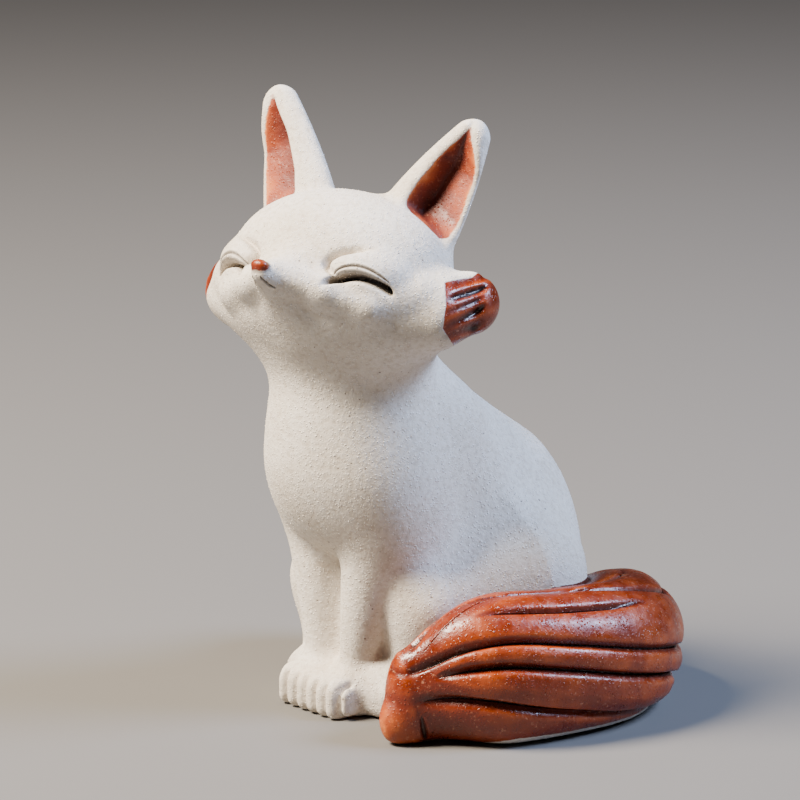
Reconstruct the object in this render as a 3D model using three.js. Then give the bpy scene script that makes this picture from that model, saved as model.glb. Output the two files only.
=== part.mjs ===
// A seated fox with closed eyes and a big curled tail, modelled by hand in white clay as a small
// tea-table figure. It is one fired solid, so it is built as one mesh named fox.
// Millimetres, +Z up, origin on the table under the middle of the figure. The fox faces -Y and its
// left side is +X. The forms are blended as soft clay is: each is a signed distance, negative inside.
import * as THREE from "three";

// Driving dimensions
const FIGURE_HEIGHT = 60; // table to the higher ear tip
const CELL = 0.42; // spacing of the grid on which the surface is found
const FACES = 9400; // triangles kept
const degrees = THREE.MathUtils.degToRad;

// Torso, seated: the haunches carry it, and the back runs up to the neck in one line
const haunches = { at: [0, 6, 10], radii: [11.6, 13, 14.3] };
const belly = { from: [0, -2, 13], to: [0, -3, 4], radii: [6.6, 6] };
const back = { from: [0, 5.5, 17.5], to: [0, -6.6, 29.8], radii: [10.8, 8.1] };
const narrow = 1.16; // the back is this much deeper than it is wide
const neck = { from: [0, -8.1, 26], to: [0, -8.9, 37], radii: [7.1, 6.5] };
const chest = { at: [0, -7.5, 24.2], radii: [8.4, 7.4, 8.8] };
const shoulder = { at: [5.2, -7, 20], radii: [4.2, 5, 9], tilt: degrees(12) };
const shoulderBlade = { at: [4.6, -0.6, 27.8], radii: [3.4, 4, 4.4] };

// Legs and paws, the left one of each pair; the right one mirrors it
const foreleg = { from: [4.4, -8.6, 18.2], to: [2.6, -10.2, 4.6], radii: [3.8, 1.6] };
const web = { from: [0, -6.2, 16], to: [0, -8.2, 3], radii: [2.6, 1.9] };
const forepaws = { at: [0, -11.6, 1.8], half: [5.25, 3.2, 2.4], round: 1.8 };
const instep = { at: [5.2, -8.4, 2.4], radii: [2.6, 3, 3] };
const thigh = { from: [7.8, 4.7, 12.4], to: [7.2, -4.5, 11], radii: [8.5, 4.3] };
const shin = { from: [7.2, -4.6, 11], to: [7, -5.6, 3], radii: [3.8, 2.8] };
const hindpaw = { at: [6.6, -7.4, 1.8], half: [2, 3.5, 2.1], round: 1.7 };
const toe = { spacing: 1.52, width: 0.34, depths: [0.4, 0.45, 0.5, 0.5], from: -12.6, reach: 1.2 };
const toeTop = { at: 3.5, fade: 0.6 };

// Head, in its own frame: across to the fox's left, the gaze along -Y, up out of the skull
const head = { at: [0.5, -9.2, 43.3], turn: degrees(15), lift: degrees(17), roll: degrees(-1) };
const skull = { at: [0, -1.5, 0.8], radii: [11.8, 9, 7.9] };
const jaw = { at: [0, -0.5, -4.6], radii: [11.3, 7.5, 5.5] };
const cheek = { from: [4.6, -6.5, -3.1], to: [11.8, -1.7, -2.6], radii: [2.5, 3.2] };
const muzzle = { from: [0, -6.2, -2.8], to: [0, -14.4, -1.3], radii: [4, 1.05] };
const nose = { at: [0, -15.1, -0.65], radii: [0.85, 0.55, 0.5] };
const tuft = { from: [12, -0.8, -1.7], to: [13.4, 1.2, -0.9], radii: [3.2, 3.1] };
const groove = { fan: 0.35, width: 0.45, from: 12.6, length: 5.6, slant: 0.6 };
const grooves = [ // height on the tuft, how much it rises on the way out, depth
  [2.2, 0, 0.2], [0.55, 0.14, 0.6], [-2.2, 0.33, 0.9], [-3, 0.15, 0.5], [-0.8, 0.24, 0.3],
];

// The soft ridge that runs from the nose under the eye to the tuft, and the flat of the face below it
const crest = { stops: [[0.7, -12.9, -1.3], [4.3, -9.9, -2.1], [7.9, -7.3, -2.8], [11.2, -4.3, -0.9]] };
const crestRadii = [0.9, 1.5, 1.5, 1.5];

// Closed eye: a lid that bulges under the brow, and the slit below it, in the face's own plane
const eye = { across: 7.1, up: -1.3, half: 2.4, arch: 0.9, width: 0.4, depth: 1.2, fade: 0.4 };
const lid = { at: [7.2, -7.05, 0.25], radii: [3.6, 2.6, 2.1], turn: degrees(30), soft: [0.25, 1.4] };
const crease = { depth: 0.6, width: 0.3, low: -0.6, high: 0.6, inner: 5.8, outer: 9, reach: 1.1 };

// Ear, in its own frame: across to the outside, back, up along its axis
const ear = { at: [6.3, 0.2, 5], splay: degrees(24.5), back: degrees(5), turn: degrees(8) };
const rightEar = { wider: 1.12, taller: 1.19, out: 0.8 }; // against the left one
const blade = { length: 13.1, width: 4.5, depth: 2.6, tip: 1.3 };
const hollow = { rim: [-2, -2.3], fold: [-0.5, 1], edge: [4, 0] };
const close = { from: 0.6, to: 5.5, by: 1.2 }; // the hollow runs out forward below the ear's tip
const open = { from: 2, to: 4.4, slope: 0.22, tip: 0.4, by: 0.3 }; // and above the ear's foot

// Tail: its middle line, its half width and half height along the way, and the furrows between its
// locks by their turn round the tail (0 is outward, 90 is up) at three places and the stretch they run
const tailStops = [
  { at: [-4, 12, 4.4], half: [4.4, 4.4] },
  { at: [4.6, 16.6, 4.7], half: [5.2, 4.7] },
  { at: [13.2, 15.6, 6], half: [6.2, 6.4] },
  { at: [19.4, 8.6, 6.6], half: [6.6, 6.9] },
  { at: [19.8, 0.6, 6.9], half: [6.3, 7.2] },
  { at: [17.6, -6.6, 6.7], half: [5.6, 7.4] },
  { at: [14.2, -12.8, 4.7], half: [2.5, 5] },
];
const furrows = [
  { turns: [60, 92, 62], from: 0.1, to: 1, depth: 0.7 },
  { turns: [50, 60, 60], from: 0.55, to: 0.86, depth: 0.8 },
  { turns: [0, 29, 36], from: 0.1, to: 1.03, depth: 1.1 },
  { turns: [-25, 6, 19], from: 0.1, to: 0.97, depth: 1.2 },
  { turns: [-54, -30, -5], from: 0.2, to: 1.02, depth: 1.1 },
  { turns: [100, 126, 110], from: 0.1, to: 0.94, depth: 0.9 },
  { turns: [138, 158, 160], from: 0.1, to: 0.85, depth: 0.8 },
];
const places = { first: 0.45, step: 0.25, last: 1 }; // where the three turns hold, as shares of the tail
const furrow = { width: 0.45, spread: 1.3, share: 0.6, fade: 0.06 };
const knob = { at: [13.9, -14.1, 2.5], radii: [1.8, 1.9, 2.6] };
const tailFoot = 2.7; // 2 is round; more gives the tail a squarer lower half
const foot = { edge: 0.7 };

// How softly each form runs into what it is pressed on, as the width of the fillet between them
const fillet = {
  back: 5, shoulderBlade: 3, chest: 4.5, shoulder: 3.5, neck: 6, belly: 2,
  web: 2, forepaws: 2, instep: 1.5, foreleg: 1, shin: 3, hindpaw: 1.4, hindleg: 1.8,
  jaw: 3, cheek: 2.6, muzzle: 3.2, crest: 1.2, crestStops: 0.8, nose: 0.5, tuft: 1.5,
  hollow: 0.6, ear: 1, head: 3.5, knob: 0.5, tail: 0.7,
};
const FLAT = 0.03; // points this near the table are set down on it

// Vectors as plain arrays
const along = (a, b, t) => a.map((v, i) => v + (b[i] - v) * t);
const mix = (a, b, t) => a + (b - a) * t;
const clamp = (v, low, high) => Math.min(Math.max(v, low), high);
const size3 = (x, y, z) => Math.sqrt(x * x + y * y + z * z);
const ramp = (v, low, high) => {
  const t = clamp((v - low) / (high - low), 0, 1);
  return t * t * (3 - 2 * t);
};
const bump = (distance, width) => Math.exp(-((distance / width) ** 2));

// Two forms pressed together, with a fillet about as wide as soft, and one pressed out of the other
function join(a, b, soft) {
  const h = Math.max(soft - Math.abs(a - b), 0) / soft;
  return Math.min(a, b) - (h * h * soft) / 4;
}
const cut = (a, b, soft) => -join(-a, b, soft);

// An egg with its middle at at, turned about up, or tipped by tilt about the across axis
function egg([x, y, z], { at, radii: [a, b, c], tilt = 0, turn = 0 }) {
  const px = x - at[0], py = y - at[1], dz = z - at[2];
  const dx = Math.cos(turn) * px + Math.sin(turn) * py, dy = Math.cos(turn) * py - Math.sin(turn) * px;
  const cos = Math.cos(tilt), sin = Math.sin(tilt);
  const ey = cos * dy + sin * dz, ez = cos * dz - sin * dy;
  const k = size3(dx / a, ey / b, ez / c);
  return (k * (k - 1)) / (size3(dx / (a * a), ey / (b * b), ez / (c * c)) + 1e-9);
}

// A tapering limb between two balls
function limb([x, y, z], { from, to, radii }) {
  const bx = to[0] - from[0], by = to[1] - from[1], bz = to[2] - from[2];
  const px = x - from[0], py = y - from[1], pz = z - from[2];
  const t = clamp((px * bx + py * by + pz * bz) / (bx * bx + by * by + bz * bz), 0, 1);
  return size3(px - t * bx, py - t * by, pz - t * bz) - mix(radii[0], radii[1], t);
}

// A block with rounded edges
function pad(p, { at, half, round }) {
  const [x, y, z] = p.map((v, i) => Math.abs(v - at[i]) - half[i] + round);
  const inside = Math.min(Math.max(x, y, z), 0);
  return size3(Math.max(x, 0), Math.max(y, 0), Math.max(z, 0)) + inside - round;
}

// A frame turned about up, then tipped back and rolled, as a function from a point to its place there
function frameAt(at, turn, lift, roll, order) {
  const m = new THREE.Matrix4().makeRotationFromEuler(new THREE.Euler(-lift, roll, turn, order)).elements;
  return ([x, y, z]) => {
    const dx = x - at[0], dy = y - at[1], dz = z - at[2];
    return [0, 4, 8].map((i) => m[i] * dx + m[i + 1] * dy + m[i + 2] * dz);
  };
}
const inHead = frameAt(head.at, head.turn, head.lift, head.roll, "ZXY");
const inEar = frameAt(ear.at, ear.turn, ear.back, ear.splay, "YXZ");

function torsoField(p, q) {
  let d = join(egg(p, haunches), limb([p[0] * narrow, p[1], p[2]], back), fillet.back);
  d = join(d, egg(q, shoulderBlade), fillet.shoulderBlade);
  d = join(d, egg(p, chest), fillet.chest);
  d = join(d, egg(q, shoulder), fillet.shoulder);
  return join(join(d, limb(p, neck), fillet.neck), limb(p, belly), fillet.belly);
}

// Lines pressed between the toes, over the front of the paws
function toeLines([x, y, z]) {
  let d = 0;
  toe.depths.forEach((depth, i) => { d += depth * bump(x - i * toe.spacing, toe.width); });
  return d * ramp(toe.from - y, -toe.reach, 0) * ramp(toeTop.at - z, -toeTop.fade, toeTop.fade);
}

function forelegField(q) {
  const d = join(limb(q, foreleg), limb(q, web), fillet.web);
  return join(join(d, pad(q, forepaws) + toeLines(q), fillet.forepaws), egg(q, instep), fillet.instep);
}

function hindlegField(q) {
  return join(join(limb(q, thigh), limb(q, shin), fillet.shin), pad(q, hindpaw), fillet.hindpaw);
}

// The line of the closed lids, seen along the gaze: how far above it a point is
const overSlit = (e, up) => {
  const s = clamp(e / eye.half, -1.2, 1.2);
  return up - eye.up - eye.arch * (1 - s * s);
};

// The slit pressed in along that line
function slit([a, f, u]) {
  const e = Math.abs(a) - eye.across;
  const within = 1 - ramp(Math.abs(e), eye.half - eye.fade, eye.half + eye.fade);
  return f > 0 ? 0 : eye.depth * within * bump(overSlit(e, u), eye.width);
}

// Grooves between the tuft's locks, fanning out to its end and running round it
function tuftLines([a, f, u]) {
  const way = a - groove.from + (f - tuft.from[1]) * groove.slant;
  const height = u - tuft.from[2] - groove.fan * way;
  let d = 0;
  for (const [line, rising, depth] of grooves)
    d += depth * bump(height - line - rising * way, groove.width);
  return d * ramp(way, -0.4, 0.8) * ramp(groove.length - way, 0, 1.4);
}

function crestField(m) {
  let d = Infinity;
  for (let i = 1; i < crest.stops.length; i++) {
    const piece = { from: crest.stops[i - 1], to: crest.stops[i], radii: crestRadii.slice(i - 1, i + 1) };
    d = i > 1 ? join(d, limb(m, piece), fillet.crestStops) : limb(m, piece);
  }
  return d;
}

// The bulging lid: a crease sets it off from the brow on its inner side, and it melts into the cheek
function lidded(m, d) {
  const bulge = egg(m, lid);
  const side = ramp(m[0], crease.inner, crease.outer);
  const pressed = m[1] < 0 ? crease.depth * (1 - side) * ramp(m[2], crease.low, crease.high) : 0;
  const both = join(d, bulge, mix(...lid.soft, side));
  return both + pressed * bump(d - bulge, crease.width) * ramp(both, -crease.reach, -crease.depth);
}

function headField(p) {
  const h = inHead(p);
  const m = [Math.abs(h[0]), h[1], h[2]];
  let d = join(egg(h, skull), egg(h, jaw), fillet.jaw);
  d = join(d, limb(m, cheek), fillet.cheek);
  d = join(d, limb(h, muzzle), fillet.muzzle);
  d = join(d, crestField(m), fillet.crest);
  d = lidded(m, d) + slit(h);
  d = join(d, egg(h, nose), fillet.nose);
  d = join(d, limb(m, tuft) + tuftLines(m), fillet.tuft);
  return earField(m, d, h[0] < 0 ? rightEar : { wider: 1, taller: 1, out: 0 });
}

// Distance to the left of the line from one point of the ear's section to the next, sizes as shares
function across(a, f, from, to) {
  const [ax, ay] = [from[0] / blade.width, from[1] / blade.depth];
  const [bx, by] = [to[0] / blade.width, to[1] / blade.depth];
  return ((f - ay) * (bx - ax) - (a - ax) * (by - ay)) / Math.hypot(bx - ax, by - ay);
}

// An ear joined to the head: a leaf round at the back, with a hollow folded along its middle
function earField(m, d, { wider, taller, out }) {
  const [over, f, up] = inEar(m);
  const a = (over - out) / wider;
  const u = up / taller;
  const t = clamp(u / blade.length, 0, 1);
  const width = mix(blade.width, blade.tip, t ** 1.6);
  const depth = mix(blade.depth, blade.tip, t);
  const rise = Math.max(0, u - blade.length + blade.tip, -u);
  const leaf = (size3(a / width, f / depth, rise / blade.tip) - 1) * depth;
  const low = u + open.slope * a;
  let front = f / depth + close.by * (1 - ramp(blade.length - u, close.from, close.to));
  front += open.by * (1 - ramp(low, open.from, open.to));
  const inner = across(a / width, front, hollow.rim, hollow.fold);
  const outer = across(a / width, front, hollow.fold, hollow.edge);
  const floor = (open.from + open.tip * f - low) / Math.hypot(1, open.tip);
  const cup = Math.max(inner * depth, outer * depth, floor);
  return join(d, cut(leaf, cup, fillet.hollow), fillet.ear);
}

// The tail's middle line and its half sizes, sampled once
const tailLine = new THREE.CatmullRomCurve3(tailStops.map(({ at }) => new THREE.Vector3(...at)));
const TAIL_STEPS = 120;
const tailHalf = new THREE.SplineCurve(tailStops.map(({ half }) => new THREE.Vector2(...half)));
const tail = Array.from({ length: TAIL_STEPS + 1 }, (_, i) => {
  const u = i / TAIL_STEPS;
  return { at: tailLine.getPoint(u).toArray(), half: tailHalf.getPoint(u).toArray() };
});
tail.forEach((stop, i) => {
  const [before, after] = [Math.max(i - 1, 0), Math.min(i + 1, TAIL_STEPS)];
  stop.along = stop.at.map((_, axis) => (tail[after].at[axis] - tail[before].at[axis]) / (after - before));
});

// From a point near a place on the middle line to where the line passes closest, without steps
function settled(p, place) {
  let s = place;
  for (let round = 0; round < 2; round++) {
    const k = Math.min(Math.floor(s), TAIL_STEPS - 1);
    const way = along(tail[k].along, tail[k + 1].along, s - k);
    const gap = along(tail[k].at, tail[k + 1].at, s - k).map((v, i) => p[i] - v);
    const bending = way.map((v, i) => v * v - gap[i] * (tail[k + 1].along[i] - tail[k].along[i]));
    const step = gap[0] * way[0] + gap[1] * way[1] + gap[2] * way[2];
    s = clamp(s + clamp(step / Math.max(bending[0] + bending[1] + bending[2], 0.05), -2, 2), 0, TAIL_STEPS);
  }
  return s;
}

function tailField(p) {
  const [x, y, z] = p;
  let best = 1e9, found = 0, out = 0;
  for (let i = 0; i < TAIL_STEPS; i++) {
    const { at: a } = tail[i], { at: b } = tail[i + 1];
    const bx = b[0] - a[0], by = b[1] - a[1], bz = b[2] - a[2];
    const px = x - a[0], py = y - a[1], pz = z - a[2];
    const t = clamp((px * bx + py * by + pz * bz) / (bx * bx + by * by + bz * bz), 0, 1);
    const d = size3(px - t * bx, py - t * by, pz - t * bz);
    if (d < best) [best, found, out] = [d, i + t, bx * py - by * px];
  }
  found = settled(p, found);
  const k = Math.min(Math.floor(found), TAIL_STEPS - 1);
  const [w, h] = along(tail[k].half, tail[k + 1].half, found - k);
  const [dx, dy, dz] = along(tail[k].at, tail[k + 1].at, found - k).map((v, i) => p[i] - v);
  const side = Math.hypot(dx, dy);
  const square = dz < 0 ? tailFoot : 2;
  const level = (((side / w) ** square + Math.abs(dz / h) ** square) ** (1 / square) - 1) * Math.min(w, h);
  const turn = Math.atan2(dz / h, (Math.sign(out) * side) / w);
  const carved = level + furrowDepth(turn, found / TAIL_STEPS, Math.hypot(side, dz));
  return join(carved, egg(p, knob), fillet.knob);
}

// The turn of a furrow at a place along the tail, by a curve through its three turns
function turnAt([a, b, c], place) {
  const t = (clamp(place, places.first - 0.05, places.last) - places.first) / places.step;
  return degrees(a + (b - a) * t + ((c - 2 * b + a) * t * (t - 1)) / 2);
}

// How deep the furrows press at a place: sharp at the line, then rounding off over the locks
function furrowDepth(turn, place, reach) {
  let d = 0;
  for (const { turns, from, to, depth } of furrows) {
    const begun = ramp(place, from - furrow.fade, from + furrow.fade);
    const within = begun * ramp(to - place, 0, 2 * furrow.fade);
    if (within === 0) continue;
    const gap = Math.abs(turn - turnAt(turns, place)) * reach;
    const line = furrow.share * bump(gap, furrow.width);
    d = Math.max(d, depth * within * (line + (1 - furrow.share) * Math.exp(-gap / furrow.spread)));
  }
  return d;
}

// The whole figure; the head is only looked for above the chest, the tail only near the table
const HEAD_FROM = 26;
const TAIL_TO = 18;
function field(p) {
  const q = [Math.abs(p[0]), p[1], p[2]];
  let d = torsoField(p, q);
  d = join(join(d, hindlegField(q), fillet.hindleg), forelegField(q), fillet.foreleg);
  if (p[2] > HEAD_FROM) d = join(d, headField(p), fillet.head);
  if (p[2] < TAIL_TO) d = join(d, tailField(p), fillet.tail);
  return cut(d, p[2], foot.edge); // the flat foot
}

// The surface of a field by marching tetrahedra: each grid cube is six tetrahedra round one
// diagonal, so the mesh is closed. Blocks that lie well away from the surface are skipped.
const BLOCK = 6;
const ORDERS = [[1, 2, 4], [2, 4, 1], [4, 1, 2], [1, 4, 2], [4, 2, 1], [2, 1, 4]];

function surfaceOf(inside, low, high, cell) {
  const n = low.map((v, i) => Math.ceil((high[i] - v) / cell / BLOCK) * BLOCK + 1);
  const at = (i, j, k) => i + n[0] * (j + n[1] * k);
  const value = new Float32Array(n[0] * n[1] * n[2]).fill(NaN);
  const read = (i, j, k) => {
    const m = at(i, j, k);
    if (Number.isNaN(value[m])) value[m] = inside([i, j, k].map((v, axis) => low[axis] + v * cell));
    return value[m];
  };
  const points = [], faces = [], made = new Map();
  const corner = (c, i, j, k) => [i + (c & 1), j + ((c >> 1) & 1), k + (c >> 2)];
  const vertex = (a, b) => {
    const [ma, mb] = [at(...a), at(...b)];
    const key = ma < mb ? ma * 8 + code(a, b) : mb * 8 + code(b, a);
    if (!made.has(key)) {
      const t = clamp(value[ma] / (value[ma] - value[mb]), 0.02, 0.98);
      made.set(key, points.length);
      points.push(along(a, b, t).map((v, axis) => low[axis] + v * cell));
    }
    return made.get(key);
  };
  const code = (a, b) => (b[0] - a[0]) + 2 * (b[1] - a[1]) + 4 * (b[2] - a[2]);

  function cube(i, j, k) {
    let all = 0;
    for (let c = 0; c < 8; c++) all += read(...corner(c, i, j, k)) < 0 ? 1 : 0;
    if (all === 0 || all === 8) return;
    ORDERS.forEach(([a, b]) => {
      const tet = [0, a, a | b, 7].map((c) => corner(c, i, j, k));
      const within = tet.filter((c) => value[at(...c)] < 0);
      const without = tet.filter((c) => value[at(...c)] >= 0);
      if (!within.length || !without.length) return;
      let ring;
      if (within.length === 1) ring = without.map((c) => vertex(within[0], c));
      else if (without.length === 1) ring = within.map((c) => vertex(without[0], c));
      else ring = [[0, 0], [0, 1], [1, 1], [1, 0]].map(([a, b]) => vertex(within[a], without[b]));
      const out = without[0].map((v, axis) => v - within[0][axis]);
      for (let f = 2; f < ring.length; f++) faces.push(facing(ring[0], ring[f - 1], ring[f], out));
    });
  }
  const facing = (a, b, c, out) => {
    const n = normalOf(points[a], points[b], points[c]);
    return n[0] * out[0] + n[1] * out[1] + n[2] * out[2] > 0 ? [a, b, c] : [a, c, b];
  };

  const reach = BLOCK * cell;
  for (let k = 0; k + 1 < n[2]; k += BLOCK)
    for (let j = 0; j + 1 < n[1]; j += BLOCK)
      for (let i = 0; i + 1 < n[0]; i += BLOCK) {
        const middle = [i, j, k].map((v, axis) => low[axis] + (v + BLOCK / 2) * cell);
        if (Math.abs(inside(middle)) > reach * 1.3) continue;
        for (let c = 0; c < BLOCK ** 3; c++)
          cube(i + (c % BLOCK), j + (Math.floor(c / BLOCK) % BLOCK), k + Math.floor(c / BLOCK ** 2));
      }
  return { points, faces };
}

// A mesh with the points that its faces use and no others
function packed(points, faces) {
  const place = new Map();
  for (const v of faces.flat()) if (!place.has(v)) place.set(v, place.size);
  const used = [...place.keys()].map((v) => points[v]);
  return { points: used, faces: faces.map((f) => f.map((v) => place.get(v))) };
}

// The outer shell alone: in a narrow furrow the grid can leave a bubble a cell wide
function shellOf({ points, faces }) {
  const next = points.map((_, v) => v);
  const root = (v) => {
    while (next[v] !== v) v = next[v] = next[next[v]];
    return v;
  };
  for (const f of faces) for (const v of f) next[root(v)] = root(f[0]);
  const count = new Map();
  for (const f of faces) count.set(root(f[0]), (count.get(root(f[0])) ?? 0) + 1);
  const most = Math.max(...count.values());
  return packed(points, faces.filter((f) => count.get(root(f[0])) === most));
}

// Evens out a mesh: each point moves to the middle of those round it, then back onto the surface
function relax({ points, faces }, inside, rounds) {
  const step = 0.05;
  for (let round = 0; round < rounds; round++) {
    const sums = points.map(() => [0, 0, 0, 0]);
    for (const f of faces)
      for (const v of f)
        for (const w of f) {
          for (let i = 0; i < 3; i++) sums[v][i] += points[w][i];
          sums[v][3] += 1;
        }
    sums.forEach(([x, y, z, n], v) => {
      const p = [x / n, y / n, z / n];
      const d = inside(p);
      const slope = [0, 1, 2].map((i) => (inside(p.map((c, k) => c + (k === i ? step : 0))) - d) / step);
      const steep = Math.max(slope[0] ** 2 + slope[1] ** 2 + slope[2] ** 2, 0.1);
      points[v] = p.map((c, i) => c - (slope[i] * d) / steep);
    });
  }
  return { points, faces };
}

function normalOf(a, b, c) {
  const ux = b[0] - a[0], uy = b[1] - a[1], uz = b[2] - a[2];
  const vx = c[0] - a[0], vy = c[1] - a[1], vz = c[2] - a[2];
  return [uy * vz - uz * vy, uz * vx - ux * vz, ux * vy - uy * vx];
}

// Fewer triangles: the edge whose loss moves the surface least is drawn together, over and over.
// What a move costs is the squared distance to the planes round both its ends (a quadric).
const PLANES = [[0, 0], [0, 1], [0, 2], [0, 3], [1, 1], [1, 2], [1, 3], [2, 2], [2, 3], [3, 3]];

function simplify({ points, faces }, target) {
  const quadrics = points.map(() => new Float64Array(PLANES.length));
  const around = points.map(() => new Set());
  faces.forEach(([a, b, c], f) => {
    const n = normalOf(points[a], points[b], points[c]);
    const size = size3(...n) + 1e-12;
    const plane = [...n.map((v) => v / size), 0];
    plane[3] = -(plane[0] * points[a][0] + plane[1] * points[a][1] + plane[2] * points[a][2]);
    for (const v of [a, b, c]) {
      around[v].add(f);
      PLANES.forEach(([i, j], k) => { quadrics[v][k] += plane[i] * plane[j] * size; });
    }
  });
  const costAt = (q, [x, y, z]) =>
    q[0] * x * x + 2 * q[1] * x * y + 2 * q[2] * x * z + 2 * q[3] * x + q[4] * y * y
    + 2 * q[5] * y * z + 2 * q[6] * y + q[7] * z * z + 2 * q[8] * z + q[9];

  // The point of least cost, or the middle of the edge where that is not well defined
  function bestPoint(q, a, b) {
    const middle = along(a, b, 0.5), reach = size3(a[0] - b[0], a[1] - b[1], a[2] - b[2]);
    const hold = 1e-3 * (q[0] + q[4] + q[7]);
    const m = new THREE.Matrix3(q[0] + hold, q[1], q[2], q[1], q[4] + hold, q[5], q[2], q[5], q[7] + hold);
    if (Math.abs(m.determinant()) < 1e-12) return middle;
    const side = new THREE.Vector3(...[3, 6, 8].map((k, i) => hold * middle[i] - q[k]));
    const p = side.applyMatrix3(m.invert()).toArray();
    return size3(p[0] - middle[0], p[1] - middle[1], p[2] - middle[2]) < reach ? p : middle;
  }

  const heap = [], stamp = new Uint32Array(points.length);
  const swap = (i, j) => { [heap[i], heap[j]] = [heap[j], heap[i]]; };
  function push(item) {
    let i = heap.push(item) - 1;
    while (i > 0 && heap[(i - 1) >> 1].cost > heap[i].cost) {
      swap(i, (i - 1) >> 1);
      i = (i - 1) >> 1;
    }
  }
  function pop() {
    swap(0, heap.length - 1);
    const item = heap.pop();
    for (let i = 0, c; (c = 2 * i + 1) < heap.length; i = c) {
      if (c + 1 < heap.length && heap[c + 1].cost < heap[c].cost) c += 1;
      if (heap[i].cost <= heap[c].cost) break;
      swap(i, c);
    }
    return item;
  }
  function offer(a, b) {
    const q = quadrics[a].map((v, k) => v + quadrics[b][k]);
    const to = bestPoint(q, points[a], points[b]);
    const reach = size3(...along(points[a], points[b], 1).map((v, i) => v - points[a][i]));
    push({ cost: costAt(q, to) + 1e-5 * reach ** 3, a, b, to, q, stamps: stamp[a] + stamp[b] });
  }
  const ring = (v) => {
    const near = new Set();
    for (const f of around[v]) for (const w of faces[f]) if (w !== v) near.add(w);
    return near;
  };
  const turns = (v, other, to) => {
    for (const f of around[v]) {
      if (faces[f].includes(other)) continue;
      const before = normalOf(...faces[f].map((w) => points[w]));
      const after = normalOf(...faces[f].map((w) => (w === v ? to : points[w])));
      const dot = before[0] * after[0] + before[1] * after[1] + before[2] * after[2];
      if (dot < 0.25 * size3(...before) * size3(...after) || size3(...after) < 2e-3) return true;
    }
    return false;
  };

  let left = faces.length;
  faces.forEach(([a, b, c]) => [[a, b], [b, c], [c, a]].forEach(([v, w]) => { if (v < w) offer(v, w); }));
  while (left > target && heap.length) {
    const { a, b, to, q, stamps } = pop();
    if (!around[a] || !around[b] || stamps !== stamp[a] + stamp[b]) continue;
    const near = ring(a), shared = [...ring(b)].filter((v) => near.has(v));
    if (!near.has(b) || shared.length !== 2 || turns(a, b, to) || turns(b, a, to)) continue;
    for (const f of around[b]) {
      if (faces[f].includes(a)) {
        for (const v of faces[f]) if (v !== b) around[v].delete(f);
        faces[f] = null;
        left -= 1;
      } else {
        faces[f] = faces[f].map((v) => (v === b ? a : v));
        around[a].add(f);
      }
    }
    around[b] = null;
    points[a] = to;
    quadrics[a] = q;
    stamp[a] += 1;
    for (const v of ring(a)) offer(Math.min(a, v), Math.max(a, v));
  }
  return packed(points, faces.filter((f) => f));
}

// The figure as one mesh, to size, its middle on the origin and its foot on the table
const room = { low: [-19, -26, -1.5], high: [28, 26, 64] };
const fine = relax(shellOf(surfaceOf(field, room.low, room.high, CELL)), field, 2);
const surface = simplify(fine, FACES);
for (const p of surface.points) if (Math.abs(p[2]) < FLAT) p[2] = 0;
const extent = new THREE.Box3().setFromPoints(surface.points.map((p) => new THREE.Vector3(...p)));
const middle = extent.getCenter(new THREE.Vector3()).setZ(extent.min.z);
const scale = FIGURE_HEIGHT / (extent.max.z - extent.min.z);

const geometry = new THREE.BufferGeometry();
const place = ([x, y, z]) => [x - middle.x, y - middle.y, z - middle.z].map((v) => v * scale);
geometry.setAttribute("position", new THREE.Float32BufferAttribute(surface.points.flatMap(place), 3));
geometry.setIndex(surface.faces.flat());
geometry.computeVertexNormals();

const clay = new THREE.MeshStandardMaterial({ color: 0xe1d8cc, roughness: 0.8, metalness: 0 });
const fox = new THREE.Mesh(geometry, clay);
fox.name = "fox";
const figure = new THREE.Group();
figure.name = "tea_pet_fox";
figure.add(fox);

export default figure;
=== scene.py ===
# %% [markdown]
# # A clay fox for the tea tray
#
# The real figure is about as tall as a thumb. Somebody pressed it out of one lump of sandy white
# clay, drew the furrows of the tail with a pointed tool, painted the tail, the ears and the cheek
# tufts with a red-brown slip, and fired it. We follow the same order: the form first, then the
# tool lines, then the sand, then the two finishes.
#
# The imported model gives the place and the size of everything, so we load it first and keep its box.

# %% The frame
import math
from types import SimpleNamespace as Sizes

import bmesh
import bpy
import numpy as np
import openvdb as vdb
from mathutils import Matrix, Vector
from mathutils.kdtree import KDTree


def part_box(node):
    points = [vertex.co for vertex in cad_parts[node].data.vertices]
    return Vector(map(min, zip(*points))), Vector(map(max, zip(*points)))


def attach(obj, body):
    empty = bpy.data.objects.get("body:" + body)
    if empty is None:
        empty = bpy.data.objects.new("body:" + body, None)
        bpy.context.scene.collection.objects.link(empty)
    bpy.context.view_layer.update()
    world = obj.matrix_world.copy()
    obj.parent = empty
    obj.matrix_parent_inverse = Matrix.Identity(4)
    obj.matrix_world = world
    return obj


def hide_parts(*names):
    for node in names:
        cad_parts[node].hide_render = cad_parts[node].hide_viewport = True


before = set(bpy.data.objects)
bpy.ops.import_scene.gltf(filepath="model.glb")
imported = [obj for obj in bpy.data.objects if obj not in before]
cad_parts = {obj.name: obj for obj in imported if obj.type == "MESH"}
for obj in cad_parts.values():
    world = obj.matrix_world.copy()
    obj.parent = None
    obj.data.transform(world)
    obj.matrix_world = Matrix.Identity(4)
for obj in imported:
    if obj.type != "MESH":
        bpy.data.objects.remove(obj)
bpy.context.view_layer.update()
fox_low, fox_high = (np.array(corner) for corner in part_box("fox"))
MM = 0.001
print("the fox is", np.round((fox_high - fox_low) / MM, 2), "mm across, deep and tall")

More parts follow.
